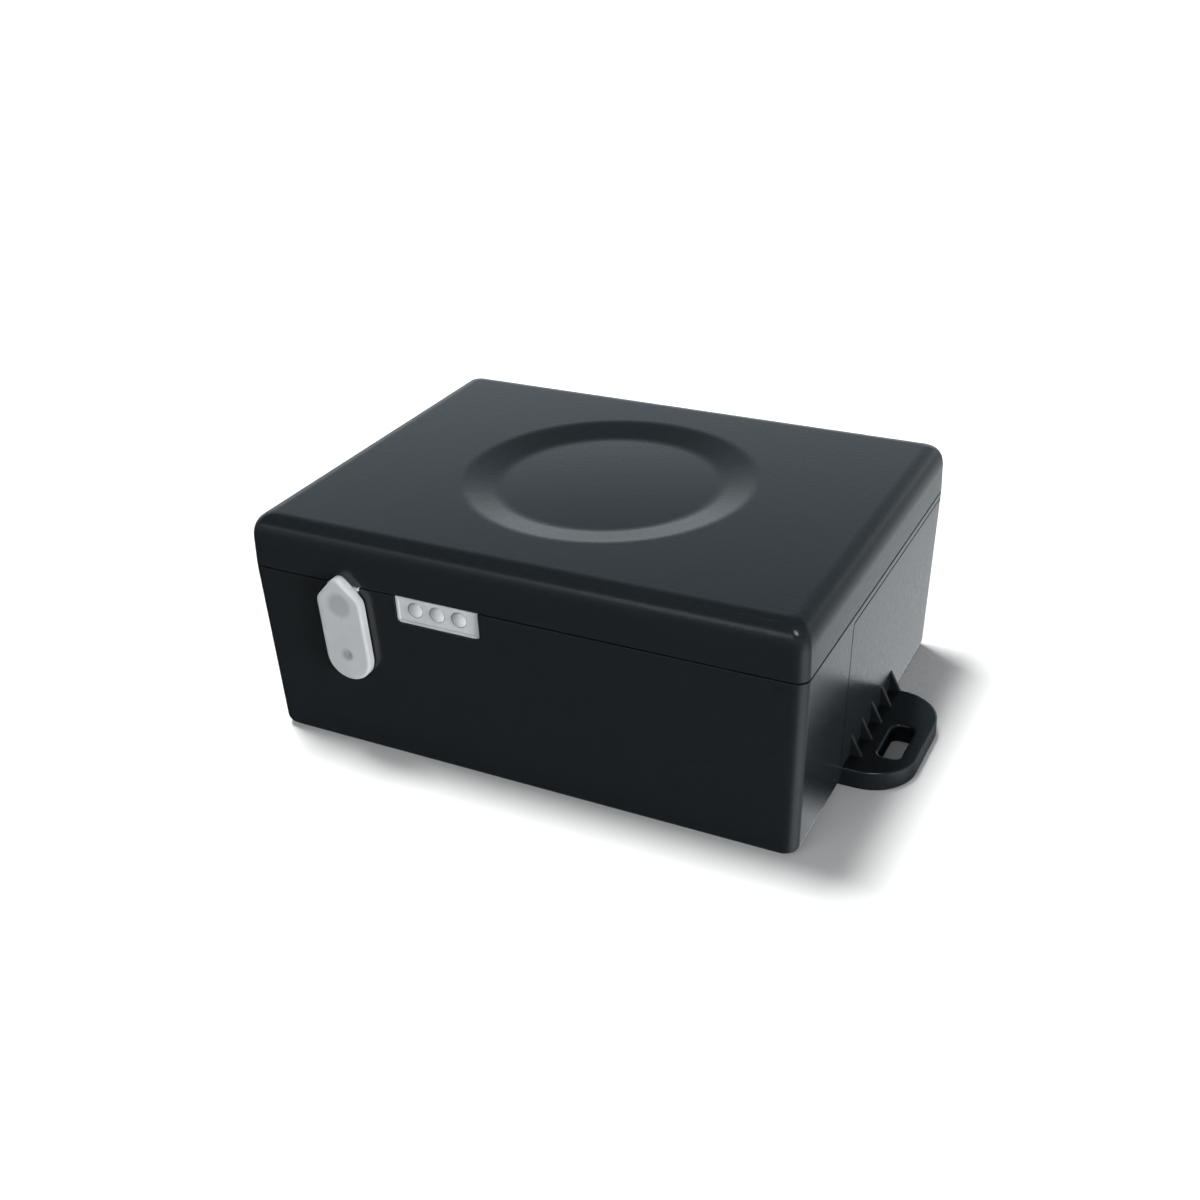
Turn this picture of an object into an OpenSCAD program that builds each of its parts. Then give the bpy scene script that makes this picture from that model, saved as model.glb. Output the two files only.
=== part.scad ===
// Battery tracker in a black two-part case with two mounting ears
// X runs along the front, Y to the rear and Z up
// The origin is the middle of the underside

/* [Case] */
// Width of the case at the parting line
case_w = 106; // [104:0.5:120]
// Depth of the case at the parting line
case_d = 80.7; // [80:0.1:95]
// Height of the closed case
case_h = 45.1; // [44.6:0.1:56]
// Height of the lid above the parting line
lid_h = 10.2; // [9.6:0.1:11]
// Thickness of the side walls at the parting line
wall_t = 2.6; // [2.4:0.1:3]
// Thickness of the floor
floor_t = 2.4; // [1.8:0.1:2.8]
// Thickness of the lid's top
lid_t = 2.4; // [1.8:0.1:3]
// Draft of the base's walls in degrees
base_draft = 1.8; // [0.5:0.1:2.2]
// Draft of the lid's walls in degrees
lid_draft = 0.9; // [0.2:0.1:1.5]
// Radius of the upright corners
corner_r = 2.4; // [2:0.1:5]
// Radius of the upright corners at the lid's top
top_corner_r = 1.2; // [0.6:0.1:3]
// Radius round the lid's top edge
lid_edge_r = 5; // [4:0.1:6]
// Radius round the underside's edge
base_edge_r = 2; // [1.5:0.1:3]
// Radius of the upright corners inside
cavity_r = 1.5; // [0.8:0.1:3]

/* [Parting line] */
// Open line between the lid and the base
seam_gap = 0.3; // [0.2:0.05:0.5]
// Thickness of the base's upright tongue
tongue_t = 1.2; // [1:0.1:1.4]
// Height of the tongue above the parting line
tongue_h = 1.8; // [1.4:0.1:2.2]
// Side clearance between the tongue and the lid
tongue_clear = 0.15; // [0.1:0.05:0.25]
// Thickness of the gasket on the tongue
gasket_t = 0.8; // [0.5:0.1:1.2]

/* [Lid dish] */
// Distance of the dish's rim from the case's front and rear
dish_margin = 12.85; // [9:0.05:20]
// Width of the dish's curved wall
dish_wall_w = 5.7; // [3:0.1:8]
// Depth of the dish
dish_depth = 1.2; // [0.6:0.1:1.8]

/* [Mounting ears] */
// Reach of an ear beyond the case's side
ear_reach = 10.2; // [10:0.1:16]
// Length of an ear along the case
ear_l = 29.3; // [27:0.1:40]
// How far the ear's middle lies in front of the case's middle
ear_shift = 0.7; // [0:0.1:3]
// Thickness of an ear
ear_t = 3.7; // [2.5:0.1:5]
// Radius of an ear's corners
ear_r = 8.5; // [3:0.1:9]
// Radius of the fillet at an ear's root
ear_fillet = 0.7; // [0.4:0.05:1]
// Width of the screw slot
slot_w = 4.2; // [4.1:0.1:5]
// Length of the screw slot
slot_l = 11; // [7:0.1:13]
// Radius of the slot's corners
slot_r = 1.4; // [0.5:0.1:2]
// Distance from the case's side to the slot's middle
slot_reach = 5.4; // [5:0.1:6.5]
// How far the slot lies in front of the ear's middle
slot_shift = 2.8; // [0:0.1:3]
// Number of gussets on an ear
gusset_count = 5; // [2:1:5]
// Pitch of the gussets
gusset_pitch = 6; // [3:0.1:6.5]
// Thickness of a gusset
gusset_t = 0.9; // [0.6:0.1:1.5]
// Height of a gusset's tip above the underside
gusset_h = 7.7; // [6:0.1:14]
// Reach of a gusset's foot along the ear
gusset_reach = 2.2; // [1.5:0.1:3.2]
// Distance of the side panel's seam in front of the middle
panel_seam_y = 16.2; // [15:0.1:30]
// Distance of the side panel's seam below the rim
panel_seam_drop = 1.3; // [0.5:0.1:3]
// Width of the side panel's seam
seam_w = 0.35; // [0.2:0.05:0.6]
// Depth of the side panel's seam
seam_d = 0.2; // [0.1:0.05:0.4]

/* [Fasteners] */
// Distance of a case screw from the inside walls
column_inset = 5.2; // [5:0.1:6]
// Radius of a screw column in the base
column_r = 4.7; // [4.4:0.1:5]
// Distance of a screw column's top below the parting line
column_drop = 11.3; // [10.3:0.1:15.3]
// Radius of a screw boss in the lid
boss_r = 4; // [3:0.1:4.2]
// Thickness of the webs that tie a boss to the lid
web_t = 1.2; // [0.8:0.1:2]
// Radius of a case screw's shank
screw_r = 1.5; // [1.2:0.05:1.6]
// Length of a case screw's shank
screw_l = 15; // [10:0.5:17]
// Radius of a case screw's head
screw_head_r = 2.8; // [2.4:0.1:3]
// Height of a case screw's head
screw_head_h = 2; // [1.5:0.1:2.5]
// Thickness of the shoulder under a case screw's head
shoulder_t = 3; // [2:0.1:5]
// Radius of a board screw's shank
board_screw_r = 1.2; // [1:0.05:1.25]
// Length of a board screw's shank
board_screw_l = 7; // [5:0.5:9]
// Radius of a board screw's head
board_head_r = 2.2; // [1.8:0.1:2.4]
// Height of a board screw's head
board_head_h = 1.5; // [1:0.1:2]
// Radius of a board post
post_r = 3.2; // [2.6:0.1:3.4]
// Distance of a board post from the inside side walls
post_inset = 6.9; // [6:0.1:7]

/* [Port cover] */
// Distance of the cover's middle to the left of the case's middle
cover_x = 32.9; // [30:0.1:36]
// Distance of the cover's middle below the parting line
cover_drop = 10; // [9.8:0.1:10.5]
// Lean of the cover on the wall in degrees
cover_lean = 2.5; // [0:0.1:5]
// Width of the cover
cover_w = 9.3; // [9.1:0.1:11]
// Length of the cover below its middle
cover_low = 8.8; // [8:0.1:12]
// Height of the tab's tip above the cover's middle
cover_tip = 11.8; // [11.2:0.1:13]
// Thickness of the cover
cover_t = 1.7; // [1.4:0.1:2]
// Radius of the cover's outer edge
cover_edge_r = 0.7; // [0.3:0.1:0.8]
// Gap between the cover and the wall
cover_gap = 0.3; // [0.25:0.05:0.4]
// Slope of the tab's two flanks in degrees
tab_slope = 45; // [40:1:48]
// Radius of the tab's tip
tab_r = 1.3; // [0.8:0.1:1.6]
// Distance of the hinge line below the parting line
hinge_drop = 1.7; // [1.6:0.05:2]
// Running gap round the hinge bead
hinge_gap = 0.3; // [0.2:0.05:0.4]
// Length of the hinge bead
bead_l = 6; // [4:0.1:6.5]
// Furthest opening of the cover in degrees
cover_open = 110; // [60:5:110]
// Width of the strap in the rim
strap_w = 6.8; // [6.2:0.1:9]
// Depth of the strap's notch below the rim
strap_drop = 0.75; // [0.6:0.05:1]
// How far the strap's anchor passes the notch on each side
anchor_over = 1.2; // [0.8:0.1:2]
// Thickness of the strap's anchor inside the wall
anchor_t = 1.2; // [0.8:0.1:1.4]
// Radius of the round flat dimple
dimple_r = 2.7; // [1.5:0.1:3]
// Depth of the dimple
dimple_depth = 0.2; // [0.1:0.05:0.5]
// Height of the dimple above the cover's middle
dimple_up = 6.7; // [5:0.1:7]
// Distance of the peg below the cover's middle
peg_down = 3.5; // [3.3:0.1:5]
// Radius of the cover's peg
peg_r = 0.9; // [0.7:0.1:1]
// Radius of the sink mark on the cover's face over the peg
peg_mark_r = 1.3; // [1:0.1:1.5]
// Depth of the cover's peg in the wall
peg_l = 1.1; // [0.8:0.1:1.2]
// Clearance round the cover's plug and peg
plug_clear = 0.4; // [0.35:0.05:0.5]
// Depth of the cover's plug in the wall
plug_l = 1; // [0.8:0.1:1.1]

/* [Light window] */
// Distance of the window's middle to the left of the case's middle
window_x = 13.9; // [8:0.1:18]
// Width of the window
window_w = 16.9; // [15:0.1:22]
// Depth of the window's notch below the rim
window_drop = 5.3; // [4.6:0.05:5.5]
// Radius of the window's lower corners
window_r = 0.8; // [0.3:0.1:1.2]
// Setback of the window's face in the wall
window_inset = 0.25; // [0.1:0.05:0.5]
// Fit gap round the window
window_clear = 0.1; // [0.05:0.05:0.2]
// Overlap of the window's flange behind the wall
window_lap = 1.2; // [0.8:0.1:2]
// Thickness of the window's flange
window_flange_t = 0.7; // [0.5:0.1:0.8]
// Number of status lights
light_count = 3; // [1:1:3]
// Diameter of a status light
light_d = 3; // [2:0.1:3.2]
// Pitch of the status lights
light_pitch = 4.4; // [4.2:0.1:5]
// Distance of the lights below the parting line
light_drop = 2.3; // [2:0.05:2.6]
// How far a light's dome stands out of the window
light_proud = 0.35; // [0.1:0.05:0.6]
// Thickness of a light's rear collar
light_collar_t = 1; // [0.6:0.1:1.4]
// Extra radius of a light's rear collar
light_collar_r = 0.4; // [0.2:0.1:0.5]
// Thickness of the light holder
holder_t = 1.8; // [1:0.1:3]
// Thickness of a light's leads
lead_t = 0.5; // [0.4:0.05:0.6]

/* [Power button] */
// Distance of the button to the left of the case's middle
button_x = 33.1; // [30:0.1:36]
// Height of the button above the board
button_rise = 3.6; // [3.4:0.1:3.8]
// Diameter of the button
button_d = 4.2; // [3:0.1:4.6]
// Setback of the button's face in the wall
button_inset = 0.7; // [0.4:0.05:1]
// Running clearance round the button
button_clear = 0.1; // [0.05:0.01:0.1]
// Extra radius of the button's inner collar
button_collar_r = 0.8; // [0.5:0.1:0.9]
// Thickness of the button's inner collar
button_collar_t = 0.8; // [0.6:0.1:0.8]
// Travel of the button
button_travel = 0.35; // [0.2:0.05:0.4]
// Width and height of the switch's body
switch_w = 6.2; // [5:0.1:6.4]
// Depth of the switch's body
switch_d = 3.5; // [3:0.1:5]
// Radius of the switch's plunger
plunger_r = 0.9; // [0.6:0.1:1.2]
// Distance of the switch behind the board's front edge
switch_setback = 1.5; // [1.4:0.1:2.5]

/* [Charge port] */
// Width of the port's shell
port_w = 7.6; // [7:0.1:8]
// Height of the port's shell
port_h = 2.7; // [2.4:0.1:2.9]
// Length of the port's shell
port_l = 5.4; // [5:0.1:7]
// Thickness of the port's sheet metal
port_sheet = 0.3; // [0.2:0.05:0.4]
// How far the port's shell reaches into the wall
port_reach = 0.8; // [0.5:0.1:0.9]
// Width of the contact tongue in the port
contact_w = 3.8; // [3:0.1:5]
// Thickness of the contact tongue in the port
contact_t = 0.6; // [0.4:0.1:0.8]

/* [Circuit board] */
// Distance of the board's underside below the parting line
board_drop = 8.9; // [8.7:0.1:9.5]
// Thickness of the board
board_t = 1.6; // [1.2:0.1:1.6]
// Gap between the board's ends and the side walls
board_side_gap = 3.4; // [2:0.1:4]
// Gap between the board's front edge and the wall
board_front_gap = 0.8; // [0.8:0.1:1.2]
// Gap between the board's rear edge and the wall
board_rear_gap = 1.4; // [1:0.1:3]
// Clearance round the lid's bosses and in the board's screw holes
board_clear = 0.6; // [0.4:0.1:1]
// Side of the square satellite antenna
patch_w = 25; // [18:0.5:25]
// Height of the satellite antenna
patch_h = 4; // [2:0.5:6]
// Side of the antenna's metal face
patch_face_w = 21; // [14:0.5:22]
// Thickness of the antenna's metal face
patch_face_t = 0.15; // [0.1:0.05:0.3]
// Thickness of the antenna's adhesive pad
patch_pad_t = 0.5; // [0.3:0.1:1]
// Width of the modem's shield can
modem_w = 26; // [20:0.5:27]
// Depth of the modem's shield can
modem_d = 24; // [18:0.5:24]
// Height of the modem's shield can
modem_h = 2.6; // [2:0.1:3.5]
// Side of the receiver's shield can
receiver_w = 14; // [10:0.5:15]
// Height of the receiver's shield can
receiver_h = 2; // [1.5:0.1:3]
// Setback of a can's folded rim
can_rim = 0.5; // [0.3:0.1:0.8]
// Side of the main processor
processor_w = 10; // [7:0.5:12]
// Height of the main processor
processor_h = 1.2; // [0.8:0.1:1.6]
// Side of the largest small chip
chip_w = 6; // [4:0.5:7]
// Width of the card socket
socket_w = 17; // [16.5:0.1:18]
// Depth of the card socket
socket_d = 15.5; // [15.3:0.1:17]
// Height of the card socket
socket_h = 1.9; // [1.7:0.1:2.5]
// Width of the network card
card_w = 15; // [12:0.1:15]
// Length of the network card
card_l = 15; // [12:0.1:15]
// Thickness of the network card
card_t = 0.8; // [0.6:0.1:0.8]
// Clearance round the network card
card_clear = 0.15; // [0.1:0.05:0.2]

/* [Battery] */
// Number of battery cells side by side
cell_count = 4; // [2:1:4]
// Distance of the cells' ends from the inside walls
cell_end_gap = 5.25; // [5:0.05:10]
// Gap between the battery pack and the board posts
pack_side_gap = 1.2; // [0.6:0.1:3]
// Thickness of the foam pads between the pack and the board
pad_t = 3; // [2.4:0.1:5]
// Gap between two battery cells
cell_gap = 0.8; // [0.5:0.1:1]
// Clearance between a cell and its holder
cell_clear = 0.1; // [0.05:0.05:0.3]
// Radius of a cell's end contact
nub_r = 3; // [2:0.1:4]
// Height of a cell's end contact
nub_h = 0.8; // [0.5:0.1:1]
// Wall of the cell holder round the outer cells
cell_holder_wall = 1; // [0.8:0.1:1.2]
// Length of a cell holder along the cells
cell_holder_l = 8; // [5:0.5:12]
// Distance of a cell holder from the cells' ends
cell_holder_inset = 2.5; // [1:0.5:8]
// Thickness of the cells' joining strips
strip_t = 0.3; // [0.2:0.05:0.4]
// Height of the cells' joining strips
strip_h = 7; // [4:0.5:9]
// Width of the protection board
guard_w = 42; // [30:1:55]
// Height of the protection board
guard_h = 6.4; // [5:0.1:8]
// Thickness of the protection board
guard_t = 1; // [1:0.1:1.4]
// Radius of a battery lead
wire_r = 0.5; // [0.4:0.05:0.5]
// Distance between the two battery leads
wire_pitch = 2; // [1.5:0.1:2.5]
// Bend radius of the leads
wire_bend = 1.4; // [1.2:0.1:1.5]
// Distance of the battery leads from the protection board's right end
lead_inset = 5; // [3:0.5:15]
// Width of the board's battery socket
header_w = 7; // [6:0.1:9]
// Depth of the board's battery socket
header_d = 6.5; // [5:0.1:8]
// Height of the board's battery socket
header_h = 5.4; // [4:0.1:7]
// Wall of the board's battery socket
header_wall = 0.6; // [0.4:0.1:0.8]
// How far the battery plug stands out of its socket
plug_out = 1.2; // [0.5:0.1:1.5]

/* [Network antenna] */
// Length of the antenna strip under the lid
strip_ant_l = 44; // [30:1:60]
// Width of the antenna strip
strip_ant_w = 7; // [5:0.5:8]
// Thickness of the antenna strip
strip_ant_t = 0.8; // [0.4:0.1:1.2]
// Gap between the antenna strip and the rear wall
strip_ant_gap = 2.7; // [1:0.1:3]
// Radius of the antenna lead
coax_r = 0.6; // [0.4:0.05:0.8]
// Sideways run of the antenna lead
coax_run = 8; // [4:0.5:12]
// Radius of the antenna socket
jack_r = 1.3; // [1:0.1:1.5]
// Height of the antenna socket
jack_h = 1; // [0.6:0.1:1.5]
// Height of the antenna lead's plug
jack_plug_h = 1.2; // [0.8:0.1:2]

/* [Hidden] */
$fn = 64;
hull_fn = 32;
shell_steps = 7;
edge_steps = 4;
arc_steps = 10;
slice_t = 0.01;
overrun = 1;
seat = 0.2;
rest_gap = 0.05;

// Case heights and inside planes
parting_z = case_h - lid_h;
column_z = parting_z - column_drop;
board_z = parting_z - board_drop;
rim_z = parting_z - seam_gap / 2;
lid_z = parting_z + seam_gap / 2;
tongue_z = parting_z + tongue_h;
rebate_z = tongue_z + gasket_t;
ceiling_z = case_h - lid_t;
inner_x = case_w / 2 - wall_t;
inner_y = case_d / 2 - wall_t;
screw_x = inner_x - column_inset;
screw_y = inner_y - column_inset;
seat_z = column_z - shoulder_t;

// Dish, whose wall is one arc that is level with the top face at its rim
dish_r = case_d / 2 - dish_margin;
dish_floor_r = dish_r - dish_wall_w;
dish_arc_r = (pow(dish_wall_w, 2) + pow(dish_depth, 2)) / (2 * dish_depth);
dish_arc = asin(dish_wall_w / dish_arc_r);

// Board
board_top = board_z + board_t;
board_w = 2 * (inner_x - board_side_gap);
board_front = board_front_gap - inner_y;
board_rear = inner_y - board_rear_gap;
board_d = board_rear - board_front;

// Battery pack, whose cells take the room under the board or the room between the posts
post_x = inner_x - post_inset;
cell_edge = cell_clear + cell_holder_wall;
high_room = board_z - pad_t - floor_t - 2 * cell_edge;
wide_room = 2 * (post_x - post_r - pack_side_gap - cell_edge) - (cell_count - 1) * cell_gap;
cell_d = min(high_room, wide_room / cell_count);
cell_l = 2 * (inner_y - cell_end_gap);
cell_pitch = cell_d + cell_gap;
cell_bore_r = cell_d / 2 + cell_clear;
pack_w = (cell_count - 1) * cell_pitch + 2 * (cell_bore_r + cell_holder_wall);
cell_z = floor_t + cell_holder_wall + cell_bore_r;
pack_top = cell_z + cell_bore_r + cell_holder_wall;
strip_y = cell_l / 2;
guard_y = strip_y + strip_t;
guard_top = cell_z + guard_h / 2;
post_y_share = 0.27;
post_y = board_d * post_y_share;

// Window and lights
light_z = parting_z - light_drop;
holder_back = board_front + holder_t;
light_front = front_y(light_z) + window_inset - light_proud;

// Button
button_z = board_top + button_rise;
button_front = front_y(button_z) + button_inset;
collar_front = rest_gap - inner_y;
collar_back = collar_front + button_collar_t;
switch_front = board_front + switch_setback;
plunger_bore_l = 4 * button_travel;

// Port
port_z = board_z - port_h / 2;
port_front = -inner_y - port_reach;
port_hole_w = port_w + 2 * plug_clear;
port_hole_h = port_h + 2 * plug_clear;

// Cover, in the frame of the drafted front wall
hinge_out = cover_gap + cover_t / 2;
neck_low = hinge_drop - cover_t / 2 - hinge_gap;
tip_z = cover_tip - tab_r;
shoulder_z = tip_z + tab_r / cos(tab_slope) - cover_w / 2 * tan(tab_slope);

// Leads
wire_y = guard_y + guard_t / 2;
plug_x = guard_w / 2 - lead_inset;
plug_z = board_top + header_h / 2;
header_back = wire_y - wire_bend - plug_out;
antenna_y = inner_y - strip_ant_gap - strip_ant_w / 2;
antenna_z = ceiling_z - strip_ant_t;
jack_top = board_top + jack_h + jack_plug_h;
coax_mid = (jack_top + antenna_z) / 2;

// Places on the board as shares of its width and depth from its middle
patch_shares = [0.12, 0.05];
modem_shares = [-0.25, 0.14];
receiver_shares = [0.37, -0.03];
processor_shares = [0.33, -0.32];
socket_shares = [-0.24, -0.22];
chip_shares = [[0.03, -0.28], [0.12, -0.33], [0.2, -0.18], [0.2, -0.36], [-0.08, -0.22], [0.37, 0.2],
    [0.03, 0.36], [-0.36, 0.38], [-0.28, 0.4]];
chip_size_shares = [[1, 0.8, 0.2], [0.7, 0.7, 0.25], [0.5, 1, 0.18], [0.8, 0.5, 0.2], [0.4, 0.3, 0.15],
    [0.9, 0.9, 0.35], [0.6, 0.4, 0.2], [0.7, 0.7, 0.5], [0.5, 0.4, 0.3]];

black = [0.09, 0.1, 0.11];
silicone = [0.86, 0.87, 0.88];
metal = [0.75, 0.75, 0.77];
board_green = [0.05, 0.3, 0.17];

// Face of the drafted front wall at a height
function front_y(z) = -case_d / 2 + (parting_z - z) * tan(base_draft);

// Face of the drafted side wall at a height
function side_x(z) = case_w / 2 - (parting_z - z) * tan(base_draft);

function board_place(shares) =
    [board_w * shares[0], (board_front + board_rear) / 2 + board_d * shares[1], board_top];

module rounded_rect(w, d, r) {
    square([w - 2 * r, d], center = true);
    square([w, d - 2 * r], center = true);
    for (sx = [-1, 1], sy = [-1, 1])
        translate([sx * (w / 2 - r), sy * (d / 2 - r)]) circle(r);
}

// Block that stands on z = 0, centred in x and y
module block(w, d, h) {
    translate([-w / 2, -d / 2, 0]) cube([w, d, h]);
}

// Drafted shell from its mouth at z = 0 to a closed end with a rounded edge
module drafted_shell(w, d, h, draft, edge_r, mouth_r, tip_r) {
    hull() {
        linear_extrude(slice_t) rounded_rect(w, d, mouth_r, $fn = hull_fn);
        for (i = [0 : shell_steps]) {
            turn = 90 * i / shell_steps;
            inset = (h - edge_r) * tan(draft) + edge_r * (1 - cos(turn));
            r = mouth_r + (tip_r - mouth_r) * (1 - cos(turn));
            translate([0, 0, h - edge_r + edge_r * sin(turn) - slice_t])
                linear_extrude(slice_t)
                    rounded_rect(w - 2 * inset, d - 2 * inset, r, $fn = hull_fn);
        }
    }
}

// Frame of the front wall: z runs up the wall from the parting line and -y points out
module front_wall() {
    translate([0, -case_d / 2, parting_z]) rotate([base_draft, 0, 0]) children();
}

// Frame of a side wall: z runs up the wall from the parting line and x points out
module side_wall() {
    translate([case_w / 2, 0, parting_z]) rotate([0, base_draft, 0]) children();
}

// Extrudes an outline in x and z from y = back to y = -front
module along_y(front, back) {
    translate([0, back, 0]) rotate([90, 0, 0]) linear_extrude(back + front) children();
}

module at_corners(x, y) {
    for (sx = [-1, 1], sy = [-1, 1]) translate([sx * x, sy * y, 0]) children();
}

module on_both_sides() {
    children();
    mirror([1, 0, 0]) children();
}

// Ring that follows the case's wall, from its inside face outward
module wall_ring(t) {
    difference() {
        rounded_rect(2 * (inner_x + t), 2 * (inner_y + t), cavity_r + t);
        rounded_rect(2 * inner_x, 2 * inner_y, cavity_r);
    }
}

module ear_outline() {
    tip = case_w / 2 + ear_reach;
    root = inner_x - base_edge_r;
    translate([root, -ear_l / 2]) square([tip - ear_r - root, ear_l]);
    translate([root, -ear_l / 2 + ear_r]) square([tip - root, ear_l - 2 * ear_r]);
    for (sy = [-1, 1]) translate([tip - ear_r, sy * (ear_l / 2 - ear_r)]) circle(ear_r);
}

// Right ear with its slot and the row of gussets that starts at its rear end
module ear() {
    difference() {
        linear_extrude(ear_t) ear_outline();
        translate([case_w / 2 + slot_reach, -slot_shift, -overrun])
            linear_extrude(ear_t + 2 * overrun) rounded_rect(slot_w, slot_l, slot_r);
    }
    translate([side_x(ear_t), ear_l / 2, ear_t]) rotate([90, 0, 0]) linear_extrude(ear_l) difference() {
        translate([-seat, -seat]) square(ear_fillet + seat);
        translate([ear_fillet, ear_fillet]) circle(ear_fillet);
    }
    for (i = [0 : gusset_count - 1])
        translate([0, ear_l / 2 - i * gusset_pitch, 0]) rotate([90, 0, 0])
            linear_extrude(gusset_t) polygon([
                [inner_x + wall_t / 4, ear_t - slot_r],
                [side_x(ear_t) + gusset_reach, ear_t - slot_r],
                [side_x(ear_t) + gusset_reach, ear_t],
                [side_x(gusset_h), gusset_h],
                [inner_x + wall_t / 4, gusset_h]
            ]);
}

// Fine seam of the moulded side panel, upright in front and level under the rim
module panel_seam() {
    side_wall() {
        translate([-seam_d, -panel_seam_y - seam_w / 2, -parting_z])
            cube([seam_d + overrun, seam_w, parting_z - panel_seam_drop]);
        translate([-seam_d, -panel_seam_y - seam_w / 2, -panel_seam_drop - seam_w])
            cube([seam_d + overrun, case_d / 2 + panel_seam_y, seam_w]);
    }
}

// Opening in the rim, from a depth below it to above the tongue
module rim_notch(x, w, drop, r) {
    low = rim_z - drop - parting_z;
    front_wall() along_y(overrun, wall_t + overrun) {
        translate([x - w / 2, low + r]) square([w, drop + tongue_h + overrun]);
        translate([x - w / 2 + r, low]) square([w - 2 * r, r]);
        for (sx = [-1, 1]) translate([x + sx * (w / 2 - r), low + r]) circle(r);
    }
}

module base_shell() {
    mirror([0, 0, 1]) translate([0, 0, -rim_z])
        drafted_shell(case_w, case_d, rim_z, base_draft, base_edge_r, corner_r, corner_r);
    translate([0, 0, rim_z - tongue_h]) linear_extrude(tongue_h + tongue_z - rim_z) wall_ring(tongue_t);
}

// Openings of the front wall for the button, the port and the cover's peg
module front_openings() {
    rim_notch(-window_x, window_w, window_drop, window_r);
    rim_notch(-cover_x, strap_w, strap_drop, strap_drop / 4);
    translate([-button_x, -case_d / 2 - overrun, button_z]) rotate([-90, 0, 0])
        cylinder(r = button_d / 2 + button_clear, h = wall_t + 2 * overrun);
    translate([-cover_x, 0, port_z]) along_y(case_d / 2 + overrun, overrun - inner_y)
        rounded_rect(port_hole_w, port_hole_h, port_hole_h / 4);
    front_wall() cover_frame() translate([0, peg_l + plug_clear, -peg_down]) rotate([90, 0, 0])
        cylinder(r = peg_r + plug_clear, h = peg_l + plug_clear + overrun);
}

module base_case() {
    stop_l = pack_w - 2 * cell_bore_r;
    stop_t = wall_t / 2;
    color(black) difference() {
        union() {
            difference() {
                union() {
                    base_shell();
                    on_both_sides() translate([0, -ear_shift, 0]) ear();
                }
                translate([0, 0, floor_t]) linear_extrude(case_h)
                    rounded_rect(2 * inner_x, 2 * inner_y, cavity_r);
                on_both_sides() panel_seam();
            }
            at_corners(screw_x, screw_y) translate([0, 0, floor_t / 2])
                cylinder(r = column_r, h = column_z - floor_t / 2);
            at_corners(post_x, post_y) translate([0, 0, floor_t / 2])
                cylinder(r = post_r, h = board_z - floor_t / 2);
            for (sy = [-1, 1])
                translate([0, sy * (guard_y + stop_t), floor_t / 2])
                    block(stop_l, stop_t, cell_z - guard_h / 2 - seat - floor_t / 2);
        }
        front_openings();
        at_corners(screw_x, screw_y) {
            translate([0, 0, -overrun]) cylinder(r = screw_head_r + seat, h = seat_z + overrun);
            cylinder(r = screw_r + seat, h = column_z + overrun);
        }
        at_corners(post_x, post_y) translate([0, 0, board_z - board_screw_l])
            cylinder(r = board_screw_r + rest_gap, h = board_screw_l + overrun);
    }
}

// Shallow round dish cut in the lid's top
module dish() {
    rim = [for (i = [0 : arc_steps])
        let (turn = dish_arc * (1 - i / arc_steps))
        [dish_r - dish_arc_r * sin(turn), dish_arc_r * (cos(turn) - 1)]];
    translate([0, 0, case_h]) rotate_extrude()
        polygon(concat([[0, -dish_depth]], rim, [[dish_r, overrun], [0, overrun]]));
}

module lid_inside() {
    difference() {
        translate([0, 0, lid_z - overrun]) linear_extrude(ceiling_z - lid_z + overrun)
            rounded_rect(2 * inner_x, 2 * inner_y, cavity_r);
        translate([0, 0, ceiling_z - dish_depth])
            cylinder(r = dish_floor_r + dish_wall_w / 2, h = dish_depth + overrun);
    }
    translate([0, 0, lid_z - overrun]) linear_extrude(rebate_z - lid_z + overrun)
        rounded_rect(2 * (inner_x + tongue_t + tongue_clear), 2 * (inner_y + tongue_t + tongue_clear),
            cavity_r + tongue_t + tongue_clear);
}

module lid_boss() {
    translate([screw_x, screw_y, column_z]) cylinder(r = boss_r, h = ceiling_z - column_z + lid_t / 2);
    translate([screw_x, screw_y - web_t / 2, rebate_z])
        cube([column_inset + wall_t / 4, web_t, ceiling_z - rebate_z + lid_t / 4]);
    translate([screw_x - web_t / 2, screw_y, rebate_z])
        cube([web_t, column_inset + wall_t / 4, ceiling_z - rebate_z + lid_t / 4]);
}

module lid() {
    color(black) difference() {
        union() {
            difference() {
                translate([0, 0, lid_z])
                    drafted_shell(case_w, case_d, case_h - lid_z, lid_draft, lid_edge_r, corner_r, top_corner_r);
                lid_inside();
            }
            on_both_sides() {
                lid_boss();
                mirror([0, 1, 0]) lid_boss();
            }
        }
        dish();
        at_corners(screw_x, screw_y) translate([0, 0, column_z - overrun])
            cylinder(r = screw_r + rest_gap, h = screw_l - shoulder_t + overrun + seat);
    }
}

module lid_gasket() {
    color([0.3, 0.3, 0.32]) translate([0, 0, tongue_z]) linear_extrude(gasket_t) wall_ring(tongue_t);
}

// Screw that points up from its head's seat at z = 0, with a six-sided socket
module screw(r, l, head_r, head_h) {
    cylinder(r = r, h = l);
    difference() {
        translate([0, 0, -head_h]) cylinder(r = head_r, h = head_h);
        translate([0, 0, -head_h - overrun])
            cylinder(r = head_r / 2, h = head_h / 2 + overrun, $fn = 6);
    }
}

module lid_screws() {
    color(metal) at_corners(screw_x, screw_y) translate([0, 0, seat_z])
        screw(screw_r, screw_l, screw_head_r, screw_head_h);
}

module board_screws() {
    color(metal) at_corners(post_x, post_y) translate([0, 0, board_top]) rotate([180, 0, 0])
        screw(board_screw_r, board_t + board_screw_l - seat, board_head_r, board_head_h);
}

module each_light() {
    for (i = [0 : light_count - 1])
        translate([(i - (light_count - 1) / 2) * light_pitch - window_x, 0, light_z]) children();
}

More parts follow.
